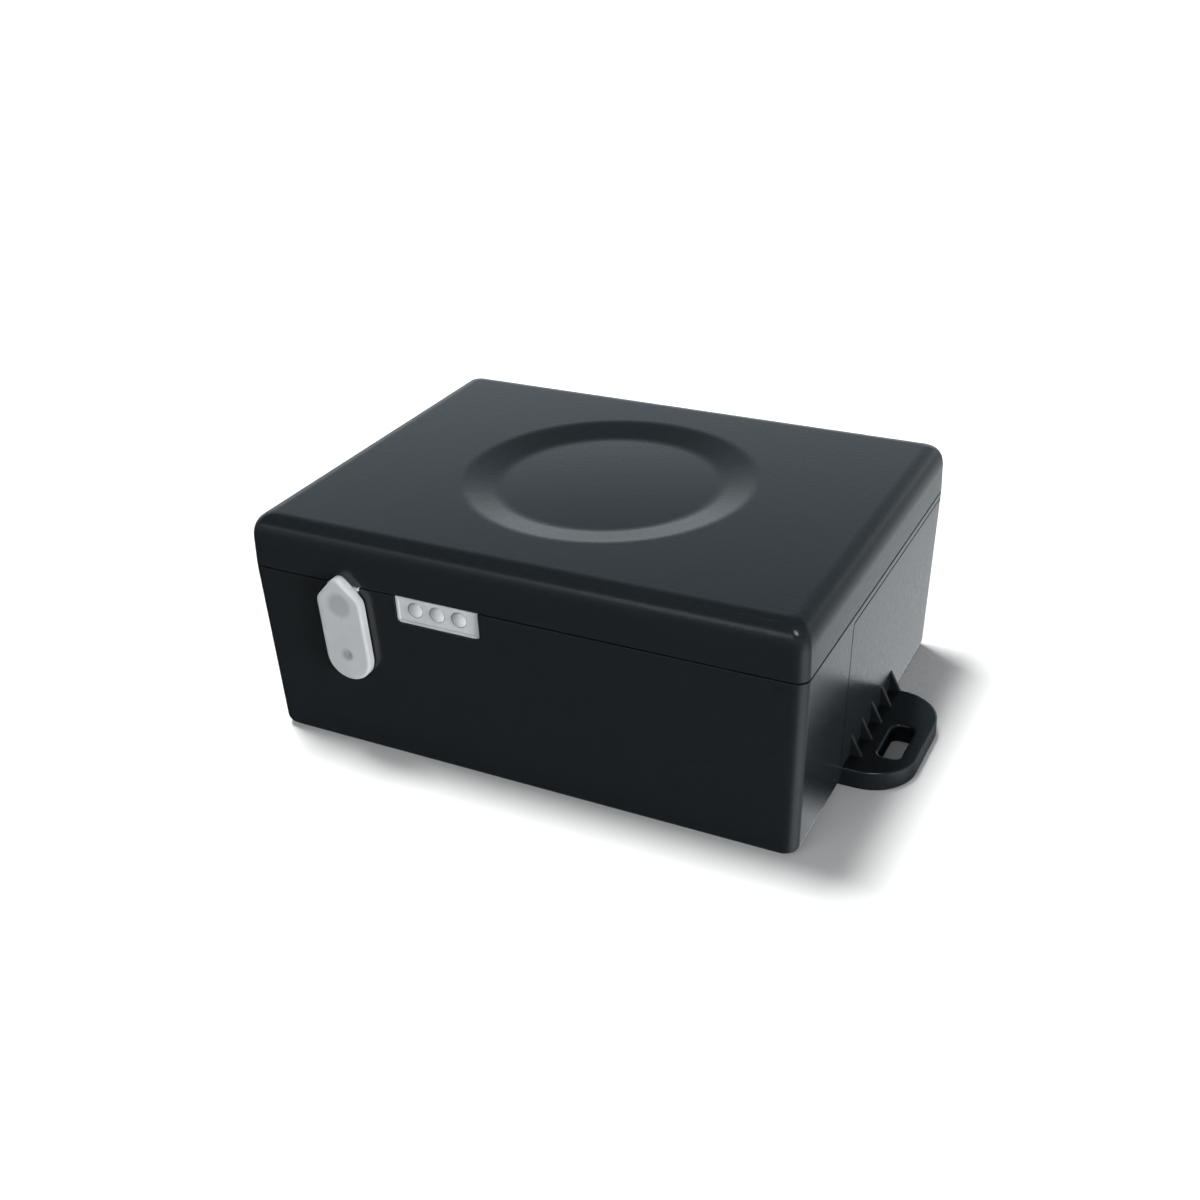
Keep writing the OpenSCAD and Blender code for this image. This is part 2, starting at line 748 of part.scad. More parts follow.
// Insert that fills the notch, with a tongue like the rim's and a flange behind the wall
module led_window() {
    low = rim_z - window_drop - parting_z + window_clear;
    w = window_w - 2 * window_clear;
    color([0.72, 0.75, 0.77]) difference() {
        union() {
            front_wall() along_y(-window_inset, wall_t + window_flange_t / 2) {
                translate([-window_x - w / 2, low + window_r]) square([w, -low - window_r - seam_gap / 2]);
                translate([-window_x - w / 2 + window_r, low]) square([w - 2 * window_r, window_r]);
                for (sx = [-1, 1])
                    translate([sx * (w / 2 - window_r) - window_x, low + window_r]) circle(window_r);
            }
            translate([-window_x - w / 2 + window_clear, -inner_y - tongue_t, rim_z - tongue_h])
                cube([w - 2 * window_clear, tongue_t + window_flange_t / 2, tongue_h + tongue_z - rim_z]);
            translate([-window_x - w / 2 - window_lap, -inner_y, parting_z + low - window_lap])
                cube([w + 2 * window_lap, window_flange_t, tongue_z - parting_z - low + window_lap]);
        }
        each_light() translate([0, -case_d / 2 - overrun, 0]) rotate([-90, 0, 0])
            cylinder(r = light_d / 2 + window_clear, h = wall_t + window_flange_t + 2 * overrun);
    }
}

module light_holder() {
    w = (light_count - 1) * light_pitch + light_d + 2 * holder_t;
    h = light_z + light_d / 2 + light_collar_r - board_top;
    color([0.92, 0.92, 0.9]) difference() {
        translate([-window_x, (board_front + holder_back) / 2, board_top]) block(w, holder_t, h);
        each_light() translate([0, board_front - overrun, 0]) rotate([-90, 0, 0])
            cylinder(r = light_d / 2 + rest_gap, h = holder_t + 2 * overrun);
    }
}

// Domed light whose collar bears on the holder and whose leads bend down to the board
module status_lights() {
    r = light_d / 2;
    collar_back_y = holder_back + light_collar_t;
    lead_y = collar_back_y + light_collar_t;
    color([0.85, 0.88, 0.9]) each_light() {
        translate([0, light_front + r, 0]) {
            sphere(r);
            rotate([-90, 0, 0]) cylinder(r = r, h = holder_back - light_front - r + light_collar_t / 2);
        }
        translate([0, holder_back, 0]) rotate([-90, 0, 0])
            cylinder(r = r + light_collar_r, h = light_collar_t);
        for (sx = [-1, 1]) {
            translate([sx * r / 2 - lead_t / 2, collar_back_y - light_collar_t / 2, -lead_t / 2])
                cube([lead_t, light_collar_t * 3 / 2 + lead_t, lead_t]);
            translate([sx * r / 2 - lead_t / 2, lead_y, board_top - light_z])
                cube([lead_t, lead_t, light_z - board_top]);
        }
    }
}

// Frame of the cover: its middle, leaning on the front wall
module cover_frame() {
    translate([-cover_x, 0, -cover_drop]) rotate([0, -cover_lean, 0]) children();
}

// Outline of the cover above its middle, with two sloping flanks that meet at the tab's round tip
module tab_outline() {
    r = cover_w / 2;
    top = [tab_r * sin(tab_slope), tip_z + tab_r * cos(tab_slope)];
    polygon([[-r, 0], [r, 0], [r, shoulder_z], top, [-top.x, top.y], [-r, shoulder_z]]);
    translate([0, tip_z]) circle(tab_r);
}

module cover_outline() {
    r = cover_w / 2;
    translate([0, r - cover_low]) circle(r);
    translate([-r, r - cover_low]) square([cover_w, cover_low]);
    tab_outline();
}

// Pillow-edged body of the cover, as moulded in one piece with its tab
module cover_body() {
    translate([0, -cover_gap, 0]) rotate([90, 0, 0]) hull() {
        linear_extrude(slice_t) cover_outline($fn = hull_fn);
        for (i = [0 : edge_steps]) {
            turn = 90 * i / edge_steps;
            translate([0, 0, cover_t - cover_edge_r * (1 - sin(turn)) - slice_t])
                linear_extrude(slice_t)
                    offset(delta = cover_edge_r * (cos(turn) - 1)) cover_outline($fn = hull_fn);
        }
    }
}

// Space below the fixed tab, with a slope that clears the opened cover
module below_tab() {
    slope = cover_open - 90;
    far = cover_w;
    rotate([90, 0, 90]) translate([0, 0, -cover_x - cover_w]) linear_extrude(2 * cover_w)
        polygon([[far, -neck_low], [-hinge_out, -neck_low], [-hinge_out - far, far * tan(slope) - neck_low],
            [-hinge_out - far, -3 * far], [far, -3 * far]]);
}

module port_cover() {
    face = cover_gap + cover_t;
    color(silicone) front_wall() {
        difference() {
            cover_frame() difference() {
                cover_body();
                translate([0, dimple_depth - face, dimple_up]) rotate([90, 0, 0])
                    cylinder(r = dimple_r, h = overrun);
                translate([0, dimple_depth - face, -peg_down]) rotate([90, 0, 0])
                    cylinder(r = peg_mark_r, h = overrun);
            }
            translate([-cover_x - cover_w, -cover_w, -hinge_drop]) cube(2 * cover_w);
        }
        translate([-cover_x - bead_l / 2, -hinge_out, -hinge_drop]) rotate([0, 90, 0])
            cylinder(r = cover_t / 2, h = bead_l);
        translate([-cover_x, 0, port_z - parting_z]) along_y(cover_gap + cover_t / 2, plug_l)
            rounded_rect(port_w, port_h, port_h / 4);
        cover_frame() translate([0, peg_l, -peg_down]) rotate([90, 0, 0])
            cylinder(r = peg_r, h = peg_l + cover_gap + cover_t / 3);
    }
}

// Strap that the lid clamps in the rim, with its anchor inside and its tab outside
module cover_tether() {
    low = rim_z - strap_drop + window_clear * 3 / 2;
    w = strap_w - 2 * window_clear;
    color(silicone) {
        translate([-cover_x - w / 2, -case_d / 2 - cover_gap, low])
            cube([w, wall_t + cover_gap, parting_z - low]);
        translate([-cover_x - w / 2, -inner_y - tongue_t, low]) cube([w, tongue_t, tongue_z - low]);
        translate([-cover_x - w / 2 - anchor_over, -inner_y, low + seat])
            cube([w + 2 * anchor_over, anchor_t, tongue_z - low - seat]);
        front_wall() difference() {
            cover_frame() along_y(cover_gap + cover_t, 0) tab_outline();
            below_tab();
        }
    }
}

module power_button() {
    color([0.2, 0.21, 0.22]) translate([-button_x, 0, button_z]) rotate([-90, 0, 0]) {
        translate([0, 0, button_front]) cylinder(r = button_d / 2, h = collar_back - button_front);
        translate([0, 0, collar_front])
            cylinder(r = button_d / 2 + button_collar_r, h = button_collar_t);
    }
}

module switch_plunger() {
    color([0.85, 0.8, 0.7]) translate([-button_x, collar_back, button_z]) rotate([-90, 0, 0])
        cylinder(r = plunger_r, h = switch_front - collar_back + plunger_bore_l / 2);
}

module button_switch() {
    color([0.15, 0.15, 0.16]) difference() {
        translate([-button_x, switch_front + switch_d / 2, board_top]) block(switch_w, switch_d, switch_w);
        translate([-button_x, switch_front - overrun, button_z]) rotate([-90, 0, 0])
            cylinder(r = plunger_r + rest_gap, h = plunger_bore_l + overrun);
    }
}

module port_outline(inset) {
    rounded_rect(port_w - 2 * inset, port_h - 2 * inset, port_h / 4 - inset / 2);
}

module charge_port() {
    color(metal) translate([-cover_x, 0, port_z]) difference() {
        along_y(-port_front, port_front + port_l) port_outline(0);
        along_y(overrun - port_front, port_front + port_l - 2 * port_sheet) port_outline(port_sheet);
    }
}

module charge_port_tongue() {
    back = port_front + port_l - 2 * port_sheet;
    front = port_front + port_l / 4;
    color([0.1, 0.1, 0.1]) translate([-cover_x, (front + back) / 2, port_z - contact_t / 2])
        block(contact_w, back - front, contact_t);
}

module circuit_board() {
    notch_d = board_rear - wire_y + wire_bend;
    color(board_green) difference() {
        translate([0, (board_front + board_rear) / 2, board_z]) block(board_w, board_d, board_t);
        at_corners(screw_x, screw_y) translate([0, 0, board_z - overrun])
            cylinder(r = boss_r + board_clear, h = board_t + 2 * overrun);
        at_corners(screw_x + column_inset, screw_y + column_inset) translate([0, 0, board_z - overrun])
            block(2 * column_inset, 2 * column_inset, board_t + 2 * overrun);
        at_corners(post_x, post_y) translate([0, 0, board_z - overrun])
            cylinder(r = board_screw_r + seat, h = board_t + 2 * overrun);
        translate([plug_x, board_rear - notch_d / 2 + overrun / 2, board_z - overrun])
            block(2 * wire_pitch + 4 * wire_r, notch_d + overrun, board_t + 2 * overrun);
    }
}

module satellite_antenna() {
    color([0.78, 0.74, 0.66]) translate(board_place(patch_shares)) translate([0, 0, patch_pad_t])
        linear_extrude(patch_h) rounded_rect(patch_w, patch_w, patch_pad_t);
}

module antenna_face() {
    color([0.85, 0.85, 0.86]) translate(board_place(patch_shares))
        translate([0, 0, patch_pad_t + patch_h]) {
            linear_extrude(patch_face_t) rounded_rect(patch_face_w, patch_face_w, patch_pad_t);
            translate([patch_face_w / 12, 0, 0]) cylinder(r = patch_pad_t * 2, h = patch_face_t * 3);
        }
}

module antenna_pad() {
    color([0.9, 0.9, 0.88]) translate(board_place(patch_shares))
        block(patch_face_w, patch_face_w, patch_pad_t);
}

// Shield can: a frame with a lid whose folded rim stands in a little
module shield_can(w, d, h) {
    block(w, d, h - can_rim);
    translate([0, 0, h - can_rim]) linear_extrude(can_rim)
        rounded_rect(w - 2 * can_rim, d - 2 * can_rim, can_rim);
}

module modem_can() {
    color(metal) translate(board_place(modem_shares)) shield_can(modem_w, modem_d, modem_h);
}

module receiver_can() {
    color(metal) translate(board_place(receiver_shares)) shield_can(receiver_w, receiver_w, receiver_h);
}

module main_processor() {
    color([0.12, 0.12, 0.13]) translate(board_place(processor_shares)) {
        block(processor_w, processor_w, processor_h);
        for (turn = [0 : 90 : 270], i = [-4 : 4])
            rotate([0, 0, turn]) translate([i * processor_w / 10, processor_w / 2 + processor_h / 2, 0])
                block(processor_w / 24, processor_h, processor_h / 4);
    }
}

module board_chips() {
    color([0.14, 0.14, 0.15]) for (i = [0 : len(chip_shares) - 1])
        translate(board_place(chip_shares[i]))
            block(chip_w * chip_size_shares[i][0], chip_w * chip_size_shares[i][1],
                chip_w * chip_size_shares[i][2]);
}

module card_socket() {
    slot_t = card_t + 2 * card_clear;
    color([0.7, 0.7, 0.72]) translate(board_place(socket_shares)) difference() {
        block(socket_w, socket_d, socket_h);
        translate([0, -socket_d + card_l, (socket_h - slot_t) / 2])
            block(card_w + 2 * card_clear, socket_d, slot_t);
    }
}

module network_card() {
    color([0.93, 0.93, 0.9]) translate(board_place(socket_shares))
        translate([0, card_l / 2 - socket_d / 2 - card_l / 8, (socket_h - card_t) / 2])
            difference() {
                block(card_w, card_l, card_t);
                translate([card_w / 2, card_l / 2, -overrun]) rotate([0, 0, 45])
                    block(card_w / 5, card_w / 5, card_t + 2 * overrun);
            }
}

module each_cell() {
    for (i = [0 : cell_count - 1])
        translate([(i - (cell_count - 1) / 2) * cell_pitch, 0, cell_z]) children();
}

module battery_cells() {
    color([0.2, 0.45, 0.7]) each_cell() translate([0, -cell_l / 2, 0]) rotate([-90, 0, 0]) {
        cylinder(r = cell_d / 2, h = cell_l - nub_h);
        translate([0, 0, cell_l - nub_h]) cylinder(r = nub_r, h = nub_h);
    }
}

module cell_holders() {
    color([0.13, 0.13, 0.14]) for (sy = [-1, 1])
        translate([0, sy * (cell_l / 2 - cell_holder_inset - cell_holder_l / 2), 0]) difference() {
            translate([0, 0, floor_t]) block(pack_w, cell_holder_l, pack_top - floor_t);
            each_cell() translate([0, cell_holder_l / 2 + overrun, 0]) rotate([90, 0, 0])
                cylinder(r = cell_bore_r, h = cell_holder_l + 2 * overrun);
        }
}

module cell_strips() {
    w = (cell_count - 1) * cell_pitch + 2 * nub_r;
    color([0.8, 0.8, 0.78]) for (sy = [-1, 1])
        translate([0, sy * (strip_y + strip_t / 2), cell_z - strip_h / 2]) block(w, strip_t, strip_h);
}

module protection_board() {
    color(board_green) translate([0, guard_y + guard_t / 2, cell_z - guard_h / 2])
        block(guard_w, guard_t, guard_h);
}

// Quarter bend from +z to +x that starts at the origin
module bend(r, bend_r) {
    translate([bend_r, 0, 0]) rotate([-90, 0, 0]) rotate([0, 0, 180]) rotate_extrude(angle = 90)
        translate([bend_r, 0]) circle(r);
}

module battery_leads() {
    rise = plug_z - guard_top - wire_bend;
    color([0.7, 0.1, 0.1]) for (sx = [-1, 1])
        translate([plug_x + sx * wire_pitch / 2, wire_y, guard_top]) {
            cylinder(r = wire_r, h = rise);
            translate([0, 0, rise]) rotate([0, 0, -90]) bend(wire_r, wire_bend);
        }
}

module board_header() {
    color([0.93, 0.92, 0.88]) translate([plug_x, header_back - header_d / 2, board_top]) difference() {
        block(header_w, header_d, header_h);
        translate([0, header_wall + overrun / 2, header_wall])
            block(header_w - 2 * header_wall, header_d + overrun, header_h - 2 * header_wall);
    }
}

module battery_plug() {
    l = header_d + plug_out - 2 * header_wall;
    color([0.96, 0.95, 0.9])
        translate([plug_x, wire_y - wire_bend - l / 2, board_top + header_wall + window_clear])
            block(header_w - 2 * (header_wall + window_clear), l,
                header_h - 2 * (header_wall + window_clear));
}

module battery_pads() {
    color([0.25, 0.25, 0.27]) for (sy = [-1, 1])
        translate([0, sy * (cell_l / 2 - cell_holder_inset - cell_holder_l / 2), pack_top])
            block(pack_w * 3 / 4, cell_holder_l * 3 / 4, board_z - pack_top);
}

module network_antenna() {
    color([0.15, 0.2, 0.5]) translate([0, antenna_y, antenna_z])
        block(strip_ant_l, strip_ant_w, strip_ant_t);
}

module antenna_lead() {
    run = coax_run - 2 * wire_bend;
    color([0.15, 0.15, 0.16]) translate([-coax_run, antenna_y, board_top + jack_h]) {
        cylinder(r = jack_r + seat, h = jack_plug_h);
        cylinder(r = coax_r, h = coax_mid - wire_bend - board_top - jack_h);
        translate([0, 0, coax_mid - wire_bend - board_top - jack_h]) bend(coax_r, wire_bend);
        translate([wire_bend, 0, coax_mid - board_top - jack_h]) rotate([0, 90, 0])
            cylinder(r = coax_r, h = run);
        translate([coax_run, 0, coax_mid + wire_bend - board_top - jack_h]) rotate([0, 180, 0])
            bend(coax_r, wire_bend);
        translate([coax_run, 0, coax_mid + wire_bend - board_top - jack_h])
            cylinder(r = coax_r, h = antenna_z - coax_mid - wire_bend);
    }
}

module antenna_socket() {
    color([0.8, 0.7, 0.4]) translate([-coax_run, antenna_y, board_top]) cylinder(r = jack_r, h = jack_h);
}

base_case();
lid();
lid_gasket();
lid_screws();
led_window();
status_lights();
light_holder();
port_cover();
cover_tether();
power_button();
switch_plunger();
button_switch();
charge_port();
charge_port_tongue();
circuit_board();
board_screws();
satellite_antenna();
antenna_face();
antenna_pad();
modem_can();
receiver_can();
main_processor();
board_chips();
card_socket();
network_card();
battery_cells();
cell_holders();
cell_strips();
protection_board();
battery_leads();
battery_plug();
board_header();
battery_pads();
network_antenna();
antenna_lead();
antenna_socket();
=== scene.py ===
"""Dresses and lights the battery tracker for a studio picture.

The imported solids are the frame. The two halves of the case, the ears, the light
window, the lights, the button and the silicone cover are built again here with
rounded edges. Every other solid keeps its shape and gets its own finish.
"""

import logging
import math
from dataclasses import dataclass
from enum import Enum
from typing import Callable, Iterable, Sequence

import bmesh
import bpy
from mathutils import Matrix, Vector


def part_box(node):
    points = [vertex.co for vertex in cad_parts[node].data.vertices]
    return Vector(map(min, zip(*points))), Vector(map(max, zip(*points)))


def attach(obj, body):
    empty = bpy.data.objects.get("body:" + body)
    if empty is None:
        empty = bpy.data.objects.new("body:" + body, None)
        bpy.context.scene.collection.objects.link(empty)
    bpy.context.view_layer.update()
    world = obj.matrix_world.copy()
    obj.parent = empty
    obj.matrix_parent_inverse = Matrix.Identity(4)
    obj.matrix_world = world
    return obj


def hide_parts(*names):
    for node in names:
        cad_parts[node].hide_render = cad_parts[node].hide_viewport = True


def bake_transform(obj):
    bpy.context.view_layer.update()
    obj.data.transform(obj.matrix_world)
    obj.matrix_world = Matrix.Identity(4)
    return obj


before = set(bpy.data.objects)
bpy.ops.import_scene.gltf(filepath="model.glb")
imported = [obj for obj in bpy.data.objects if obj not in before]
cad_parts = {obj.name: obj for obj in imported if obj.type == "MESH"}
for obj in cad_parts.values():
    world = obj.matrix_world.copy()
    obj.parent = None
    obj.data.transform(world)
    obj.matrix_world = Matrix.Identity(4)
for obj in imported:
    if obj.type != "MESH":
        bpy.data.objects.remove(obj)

LOG = logging.getLogger("tracker")
MM = 0.001
CASE_BODY = "case"
BUTTON_BODY = "power_button"

Pair = tuple[float, float]
Triple = tuple[float, float, float]
Ring = list[Vector]
Mesh = bmesh.types.BMesh
Piece = bpy.types.Object
Tree = bpy.types.NodeTree
Node = bpy.types.Node
Socket = bpy.types.NodeSocket

# Degrees along a small quarter round, and along one that shows more.
QUARTER = (0.0, 30.0, 60.0, 90.0)
FINE_QUARTER = (0.0, 22.5, 45.0, 67.5, 90.0)

# Edges sharper than this many degrees are softened, in this many segments.
SHARP_ANGLE = 35.0
SOFT_SEGMENTS = 2

# Edges sharper than this many degrees stay creases, and large faces lead the shading.
CREASE_ANGLE = 32.0
NORMAL_WEIGHT = 80

# Turns a mesh that was built upward so that it points out of the front wall.
TO_FRONT = Matrix.Rotation(math.radians(90.0), 4, "X")

# Lays a flat outline into a side wall: its X runs back, its Y up and its height outward.
TO_SIDE = Matrix((
    (0.0, 0.0, 1.0, 0.0), (1.0, 0.0, 0.0, 0.0), (0.0, 1.0, 0.0, 0.0), (0.0, 0.0, 0.0, 1.0),
))

# Swaps left and right.
MIRROR = Matrix.Diagonal((-1.0, 1.0, 1.0, 1.0))

# Colour of the cards in front.
COOL = (0.84, 0.96, 1.0)


class Ends(Enum):
    """What closes a loft's first and last rings."""

    CAPPED = "capped"
    JOINED = "joined"


class Cut(Enum):
    """How one mesh changes another."""

    ADD = "UNION"
    TAKE = "DIFFERENCE"


def polar(angle: float) -> Vector:
    """Gives the flat unit vector at an angle in degrees from +X towards +Y."""
    turn = math.radians(angle)
    return Vector((math.cos(turn), math.sin(turn), 0.0))


def mix(start: float, end: float, share: float) -> float:
    """Gives the number at a share of the way from start to end."""
    return start + (end - start) * share


def smooth_step(value: float, low: float, high: float) -> float:
    """Rises smoothly from 0 at low to 1 at high."""
    share = min(max((value - low) / (high - low), 0.0), 1.0)
    return share * share * (3.0 - 2.0 * share)


def shortfalls(radius: float, turns: Iterable[float]) -> list[Pair]:
    """Gives how far a quarter round stays short of its corner, across and up.

    Args:
        radius: The round's radius.
        turns: Angles along it in degrees, 0 where it is upright and 90 where it lies flat.

    Returns:
        The two distances at each angle.
    """
    angles = [math.radians(turn) for turn in turns]
    return [(radius * (1 - math.cos(angle)), radius * (1 - math.sin(angle))) for angle in angles]


def rectangle(left: float, front: float, right: float, back: float) -> list[Pair]:
    """Gives a flat rectangle's corners, anticlockwise from the left front one."""
    return [(left, front), (right, front), (right, back), (left, back)]


@dataclass(frozen=True)
class CornerRing:
    """Rounded rectangle whose points match those of every other such ring.

    The points along each side lie where rays from the middle at even angles meet
    the side, so that a ring can also be joined to a circle without a twist.
    """

    corner_steps: int = 8
    side_steps: int = 22
    guide_width: float = 94.0
    guide_depth: float = 68.6
    guide_corner: float = 1.0

    def side_shares(self, length: float, reach: float) -> list[float]:
        """Works out where the rays meet a side.

        Args:
            length: The side's length.
            reach: The side's distance from the middle.

        Returns:
            Shares of the side's length, from its first corner to its last.
        """
        widest = math.atan2(length / 2, reach)
        turns = [mix(-widest, widest, i / self.side_steps) for i in range(1, self.side_steps)]
        return [0.5 + reach * math.tan(turn) / length for turn in turns]

    def points(self, width: float, depth: float, radius: float, height: float) -> Ring:
        """Makes the ring.

        Args:
            width: The size along X.
            depth: The size along Y.
            radius: The corner radius.
            height: The height of the ring.

        Returns:
            The points, anticlockwise from the right side's front corner.
        """
        middles = [
            Vector((sx * (width / 2 - radius), sy * (depth / 2 - radius), height))
            for sx, sy in ((1, -1), (1, 1), (-1, 1), (-1, -1))
        ]
        upright = self.side_shares(self.guide_depth, self.guide_width / 2)
        level = self.side_shares(self.guide_width, self.guide_depth / 2)
        ring: Ring = []
        for corner, middle in enumerate(middles):
            first = 90.0 * corner - 90.0
            for step in range(self.corner_steps + 1):
                ring.append(middle + polar(first + 90.0 * step / self.corner_steps) * radius)
            start = ring[-1]
            end = middles[(corner + 1) % 4] + polar(first + 90.0) * radius
            shares = upright if corner in (0, 2) else level
            ring.extend(start.lerp(end, share) for share in shares)
        return ring

    def circle(self, radius: float, height: float) -> Ring:
        """Makes a round ring whose points lie on the guide's rays.

        Args:
            radius: The circle's radius.
            height: The height of the ring.

        Returns:
            The points, in the same order as those of every other ring.
        """
        guide = self.points(self.guide_width, self.guide_depth, self.guide_corner, 0.0)
        return [
            Vector((point.x, point.y, 0.0)).normalized() * radius + Vector((0.0, 0.0, height))
            for point in guide
        ]


def loft(rings: Sequence[Ring], ends: Ends) -> Mesh:
    """Skins matched rings with four-sided faces.

    Args:
        rings: Rings of equal point count, in millimetres.
        ends: What closes the first and last rings.

    Returns:
        The closed mesh, in metres.
    """
    mesh = bmesh.new()
    rows = [[mesh.verts.new(point * MM) for point in ring] for ring in rings]
    pairs = list(zip(rows, rows[1:]))
    if ends is Ends.JOINED:
        pairs.append((rows[-1], rows[0]))
    for low, high in pairs:
        count = len(low)
        for i in range(count):
            j = (i + 1) % count
            mesh.faces.new((low[i], low[j], high[j], high[i]))
    if ends is Ends.CAPPED:
        mesh.faces.new(list(reversed(rows[0])))
        mesh.faces.new(rows[-1])
    bmesh.ops.recalc_face_normals(mesh, faces=mesh.faces)
    return mesh


def turned(profile: Sequence[Pair], steps: int = 48) -> Mesh:
    """Turns a profile round the Z axis.

    Args:
        profile: Radius and height of each point, from one end to the other.
        steps: The number of points round the axis.

    Returns:
        The closed mesh, in metres.
    """
    rings = [
        [polar(360.0 * i / steps) * radius + Vector((0.0, 0.0, height)) for i in range(steps)]
        for radius, height in profile
    ]
    return loft(rings, Ends.CAPPED)


def prism(outline: Sequence[Pair], low: float, high: float) -> Mesh:
    """Raises a flat outline in X and Y from one height to another."""
    rings = [[Vector((x, y, z)) for x, y in outline] for z in (low, high)]
    return loft(rings, Ends.CAPPED)


def rounded_corners(corners: Sequence[Pair], radii: Sequence[float], steps: int = 8) -> list[Pair]:
    """Rounds the corners of a flat outline.

    Args:
        corners: X and Y of each corner, in order.
        radii: The radius of each corner, which may be 0.
        steps: The number of steps in each arc.

    Returns:
        The points of the outline.
    """
    points: list[Pair] = []
    count = len(corners)
    for i, ((x, y), radius) in enumerate(zip(corners, radii)):
        if radius <= 0.0:
            points.append((x, y))
            continue
        here = Vector((x, y, 0.0))
        back = (Vector((*corners[i - 1], 0.0)) - here).normalized()
        ahead = (Vector((*corners[(i + 1) % count], 0.0)) - here).normalized()
        half = back.angle(ahead) / 2
        middle = here + (back + ahead).normalized() * (radius / math.sin(half))
        first = here + back * (radius / math.tan(half)) - middle
        last = here + ahead * (radius / math.tan(half)) - middle
        sweep = first.angle(last)
        sign = 1.0 if first.cross(last).z > 0 else -1.0
        for step in range(steps + 1):
            spoke = Matrix.Rotation(sign * sweep * step / steps, 3, "Z") @ first
            points.append(((middle + spoke).x, (middle + spoke).y))
    return points


def joined(meshes: Sequence[Mesh]) -> Mesh:
    """Puts several meshes into one, without merging their surfaces.

    Args:
        meshes: The meshes, which are freed.

    Returns:
        The one mesh.
    """
    whole = bmesh.new()
    for mesh in meshes:
        data = bpy.data.meshes.new("part")
        mesh.to_mesh(data)
        mesh.free()
        whole.from_mesh(data)
        bpy.data.meshes.remove(data)
    return whole


def placed(mesh: Mesh, matrix: Matrix) -> Mesh:
    """Moves a mesh in place by a matrix whose lengths are in millimetres.

    Args:
        mesh: The mesh to move.
        matrix: Where it goes.

    Returns:
        The same mesh.
    """
    move = matrix.copy()
    move.translation = matrix.translation * MM
    bmesh.ops.transform(mesh, matrix=move, verts=mesh.verts)
    if move.determinant() < 0:
        bmesh.ops.reverse_faces(mesh, faces=mesh.faces)
    return mesh


def softened(mesh: Mesh, width: float) -> Mesh:
    """Rounds the sharp edges of a simple mesh.

    Args:
        mesh: The mesh to change.
        width: The rounding's width, in millimetres.

    Returns:
        The same mesh.
    """
    least = math.radians(SHARP_ANGLE)
    sharp = [edge for edge in mesh.edges if edge.is_manifold and edge.calc_face_angle(0.0) > least]
    bmesh.ops.bevel(
        mesh, geom=sharp, offset=width * MM, offset_type="OFFSET", segments=SOFT_SEGMENTS,
        profile=0.5, affect="EDGES", clamp_overlap=True,
    )
    return mesh


def as_object(mesh: Mesh, name: str) -> Piece:
    """Turns a mesh into a linked object and frees it.

    Args:
        mesh: The mesh to use up.
        name: The object's name.

    Returns:
        The object.
    """
    data = bpy.data.meshes.new(name)
    mesh.to_mesh(data)
    mesh.free()
    piece = bpy.data.objects.new(name, data)
    bpy.context.scene.collection.objects.link(piece)
    return piece


def carve(piece: Piece, tool: Mesh, cut: Cut) -> None:
    """Adds a mesh to a piece or takes it away, and keeps the result as the piece's mesh.

    Args:
        piece: The piece to change.
        tool: The mesh to use up.
        cut: Whether it is added or taken away.
    """
    helper = as_object(tool, "tool")
    change = piece.modifiers.new("change", "BOOLEAN")
    change.operation = cut.value
    change.solver = "EXACT"
    change.object = helper
    bpy.context.view_layer.update()
    changed = piece.evaluated_get(bpy.context.evaluated_depsgraph_get())
    result = bpy.data.meshes.new_from_object(changed)
    piece.modifiers.remove(change)
    old = piece.data
    piece.data = result
    result.name = piece.name
    bpy.data.meshes.remove(old)
    bpy.data.objects.remove(helper)


def shade(piece: Piece, angle: float = CREASE_ANGLE) -> None:
    """Shades a piece smoothly but for its creases, and keeps its flat faces flat.

    Args:
        piece: The piece to shade.
        angle: Edges sharper than this many degrees stay creases.
    """
    mesh = bmesh.new()
    mesh.from_mesh(piece.data)
    for face in mesh.faces:
        face.smooth = True
    for edge in mesh.edges:
        edge.smooth = edge.calc_face_angle(0.0) < math.radians(angle)
    mesh.to_mesh(piece.data)
    mesh.free()
    weigh = piece.modifiers.new("even normals", "WEIGHTED_NORMAL")
    weigh.keep_sharp = True
    weigh.weight = NORMAL_WEIGHT


def ranged(
    tree: Tree, value: Socket, source: Pair, target: Pair = (0.0, 1.0), soft: bool = False
) -> Socket:
    """Maps a number from one range to another and holds it there.

    Args:
        tree: The material's or the world's node tree.
        value: The number to map.
        source: The range that it comes from, in rising order.
        target: What the two ends of that range become.
        soft: Whether the change sets in and ends smoothly.

    Returns:
        The mapped number.
    """
    node = tree.nodes.new("ShaderNodeMapRange")
    node.interpolation_type = "SMOOTHSTEP" if soft else "LINEAR"
    for name, number in zip(("From Min", "From Max", "To Min", "To Max"), (*source, *target)):
        node.inputs[name].default_value = number
    tree.links.new(value, node.inputs["Value"])
    return node.outputs["Result"]


def combined(tree: Tree, kind: str, way: str, first: Socket, second: Socket) -> Node:
    """Makes a node that adds or multiplies two values.

    Args:
        tree: The material's or the world's node tree.
        kind: The node's type, for numbers or for colours.
        way: The operation's name.
        first: The first value.
        second: The second value.

    Returns:
        The node.
    """
    node = tree.nodes.new(kind)
    node.operation = way
    tree.links.new(first, node.inputs[0])
    tree.links.new(second, node.inputs[1])
    return node


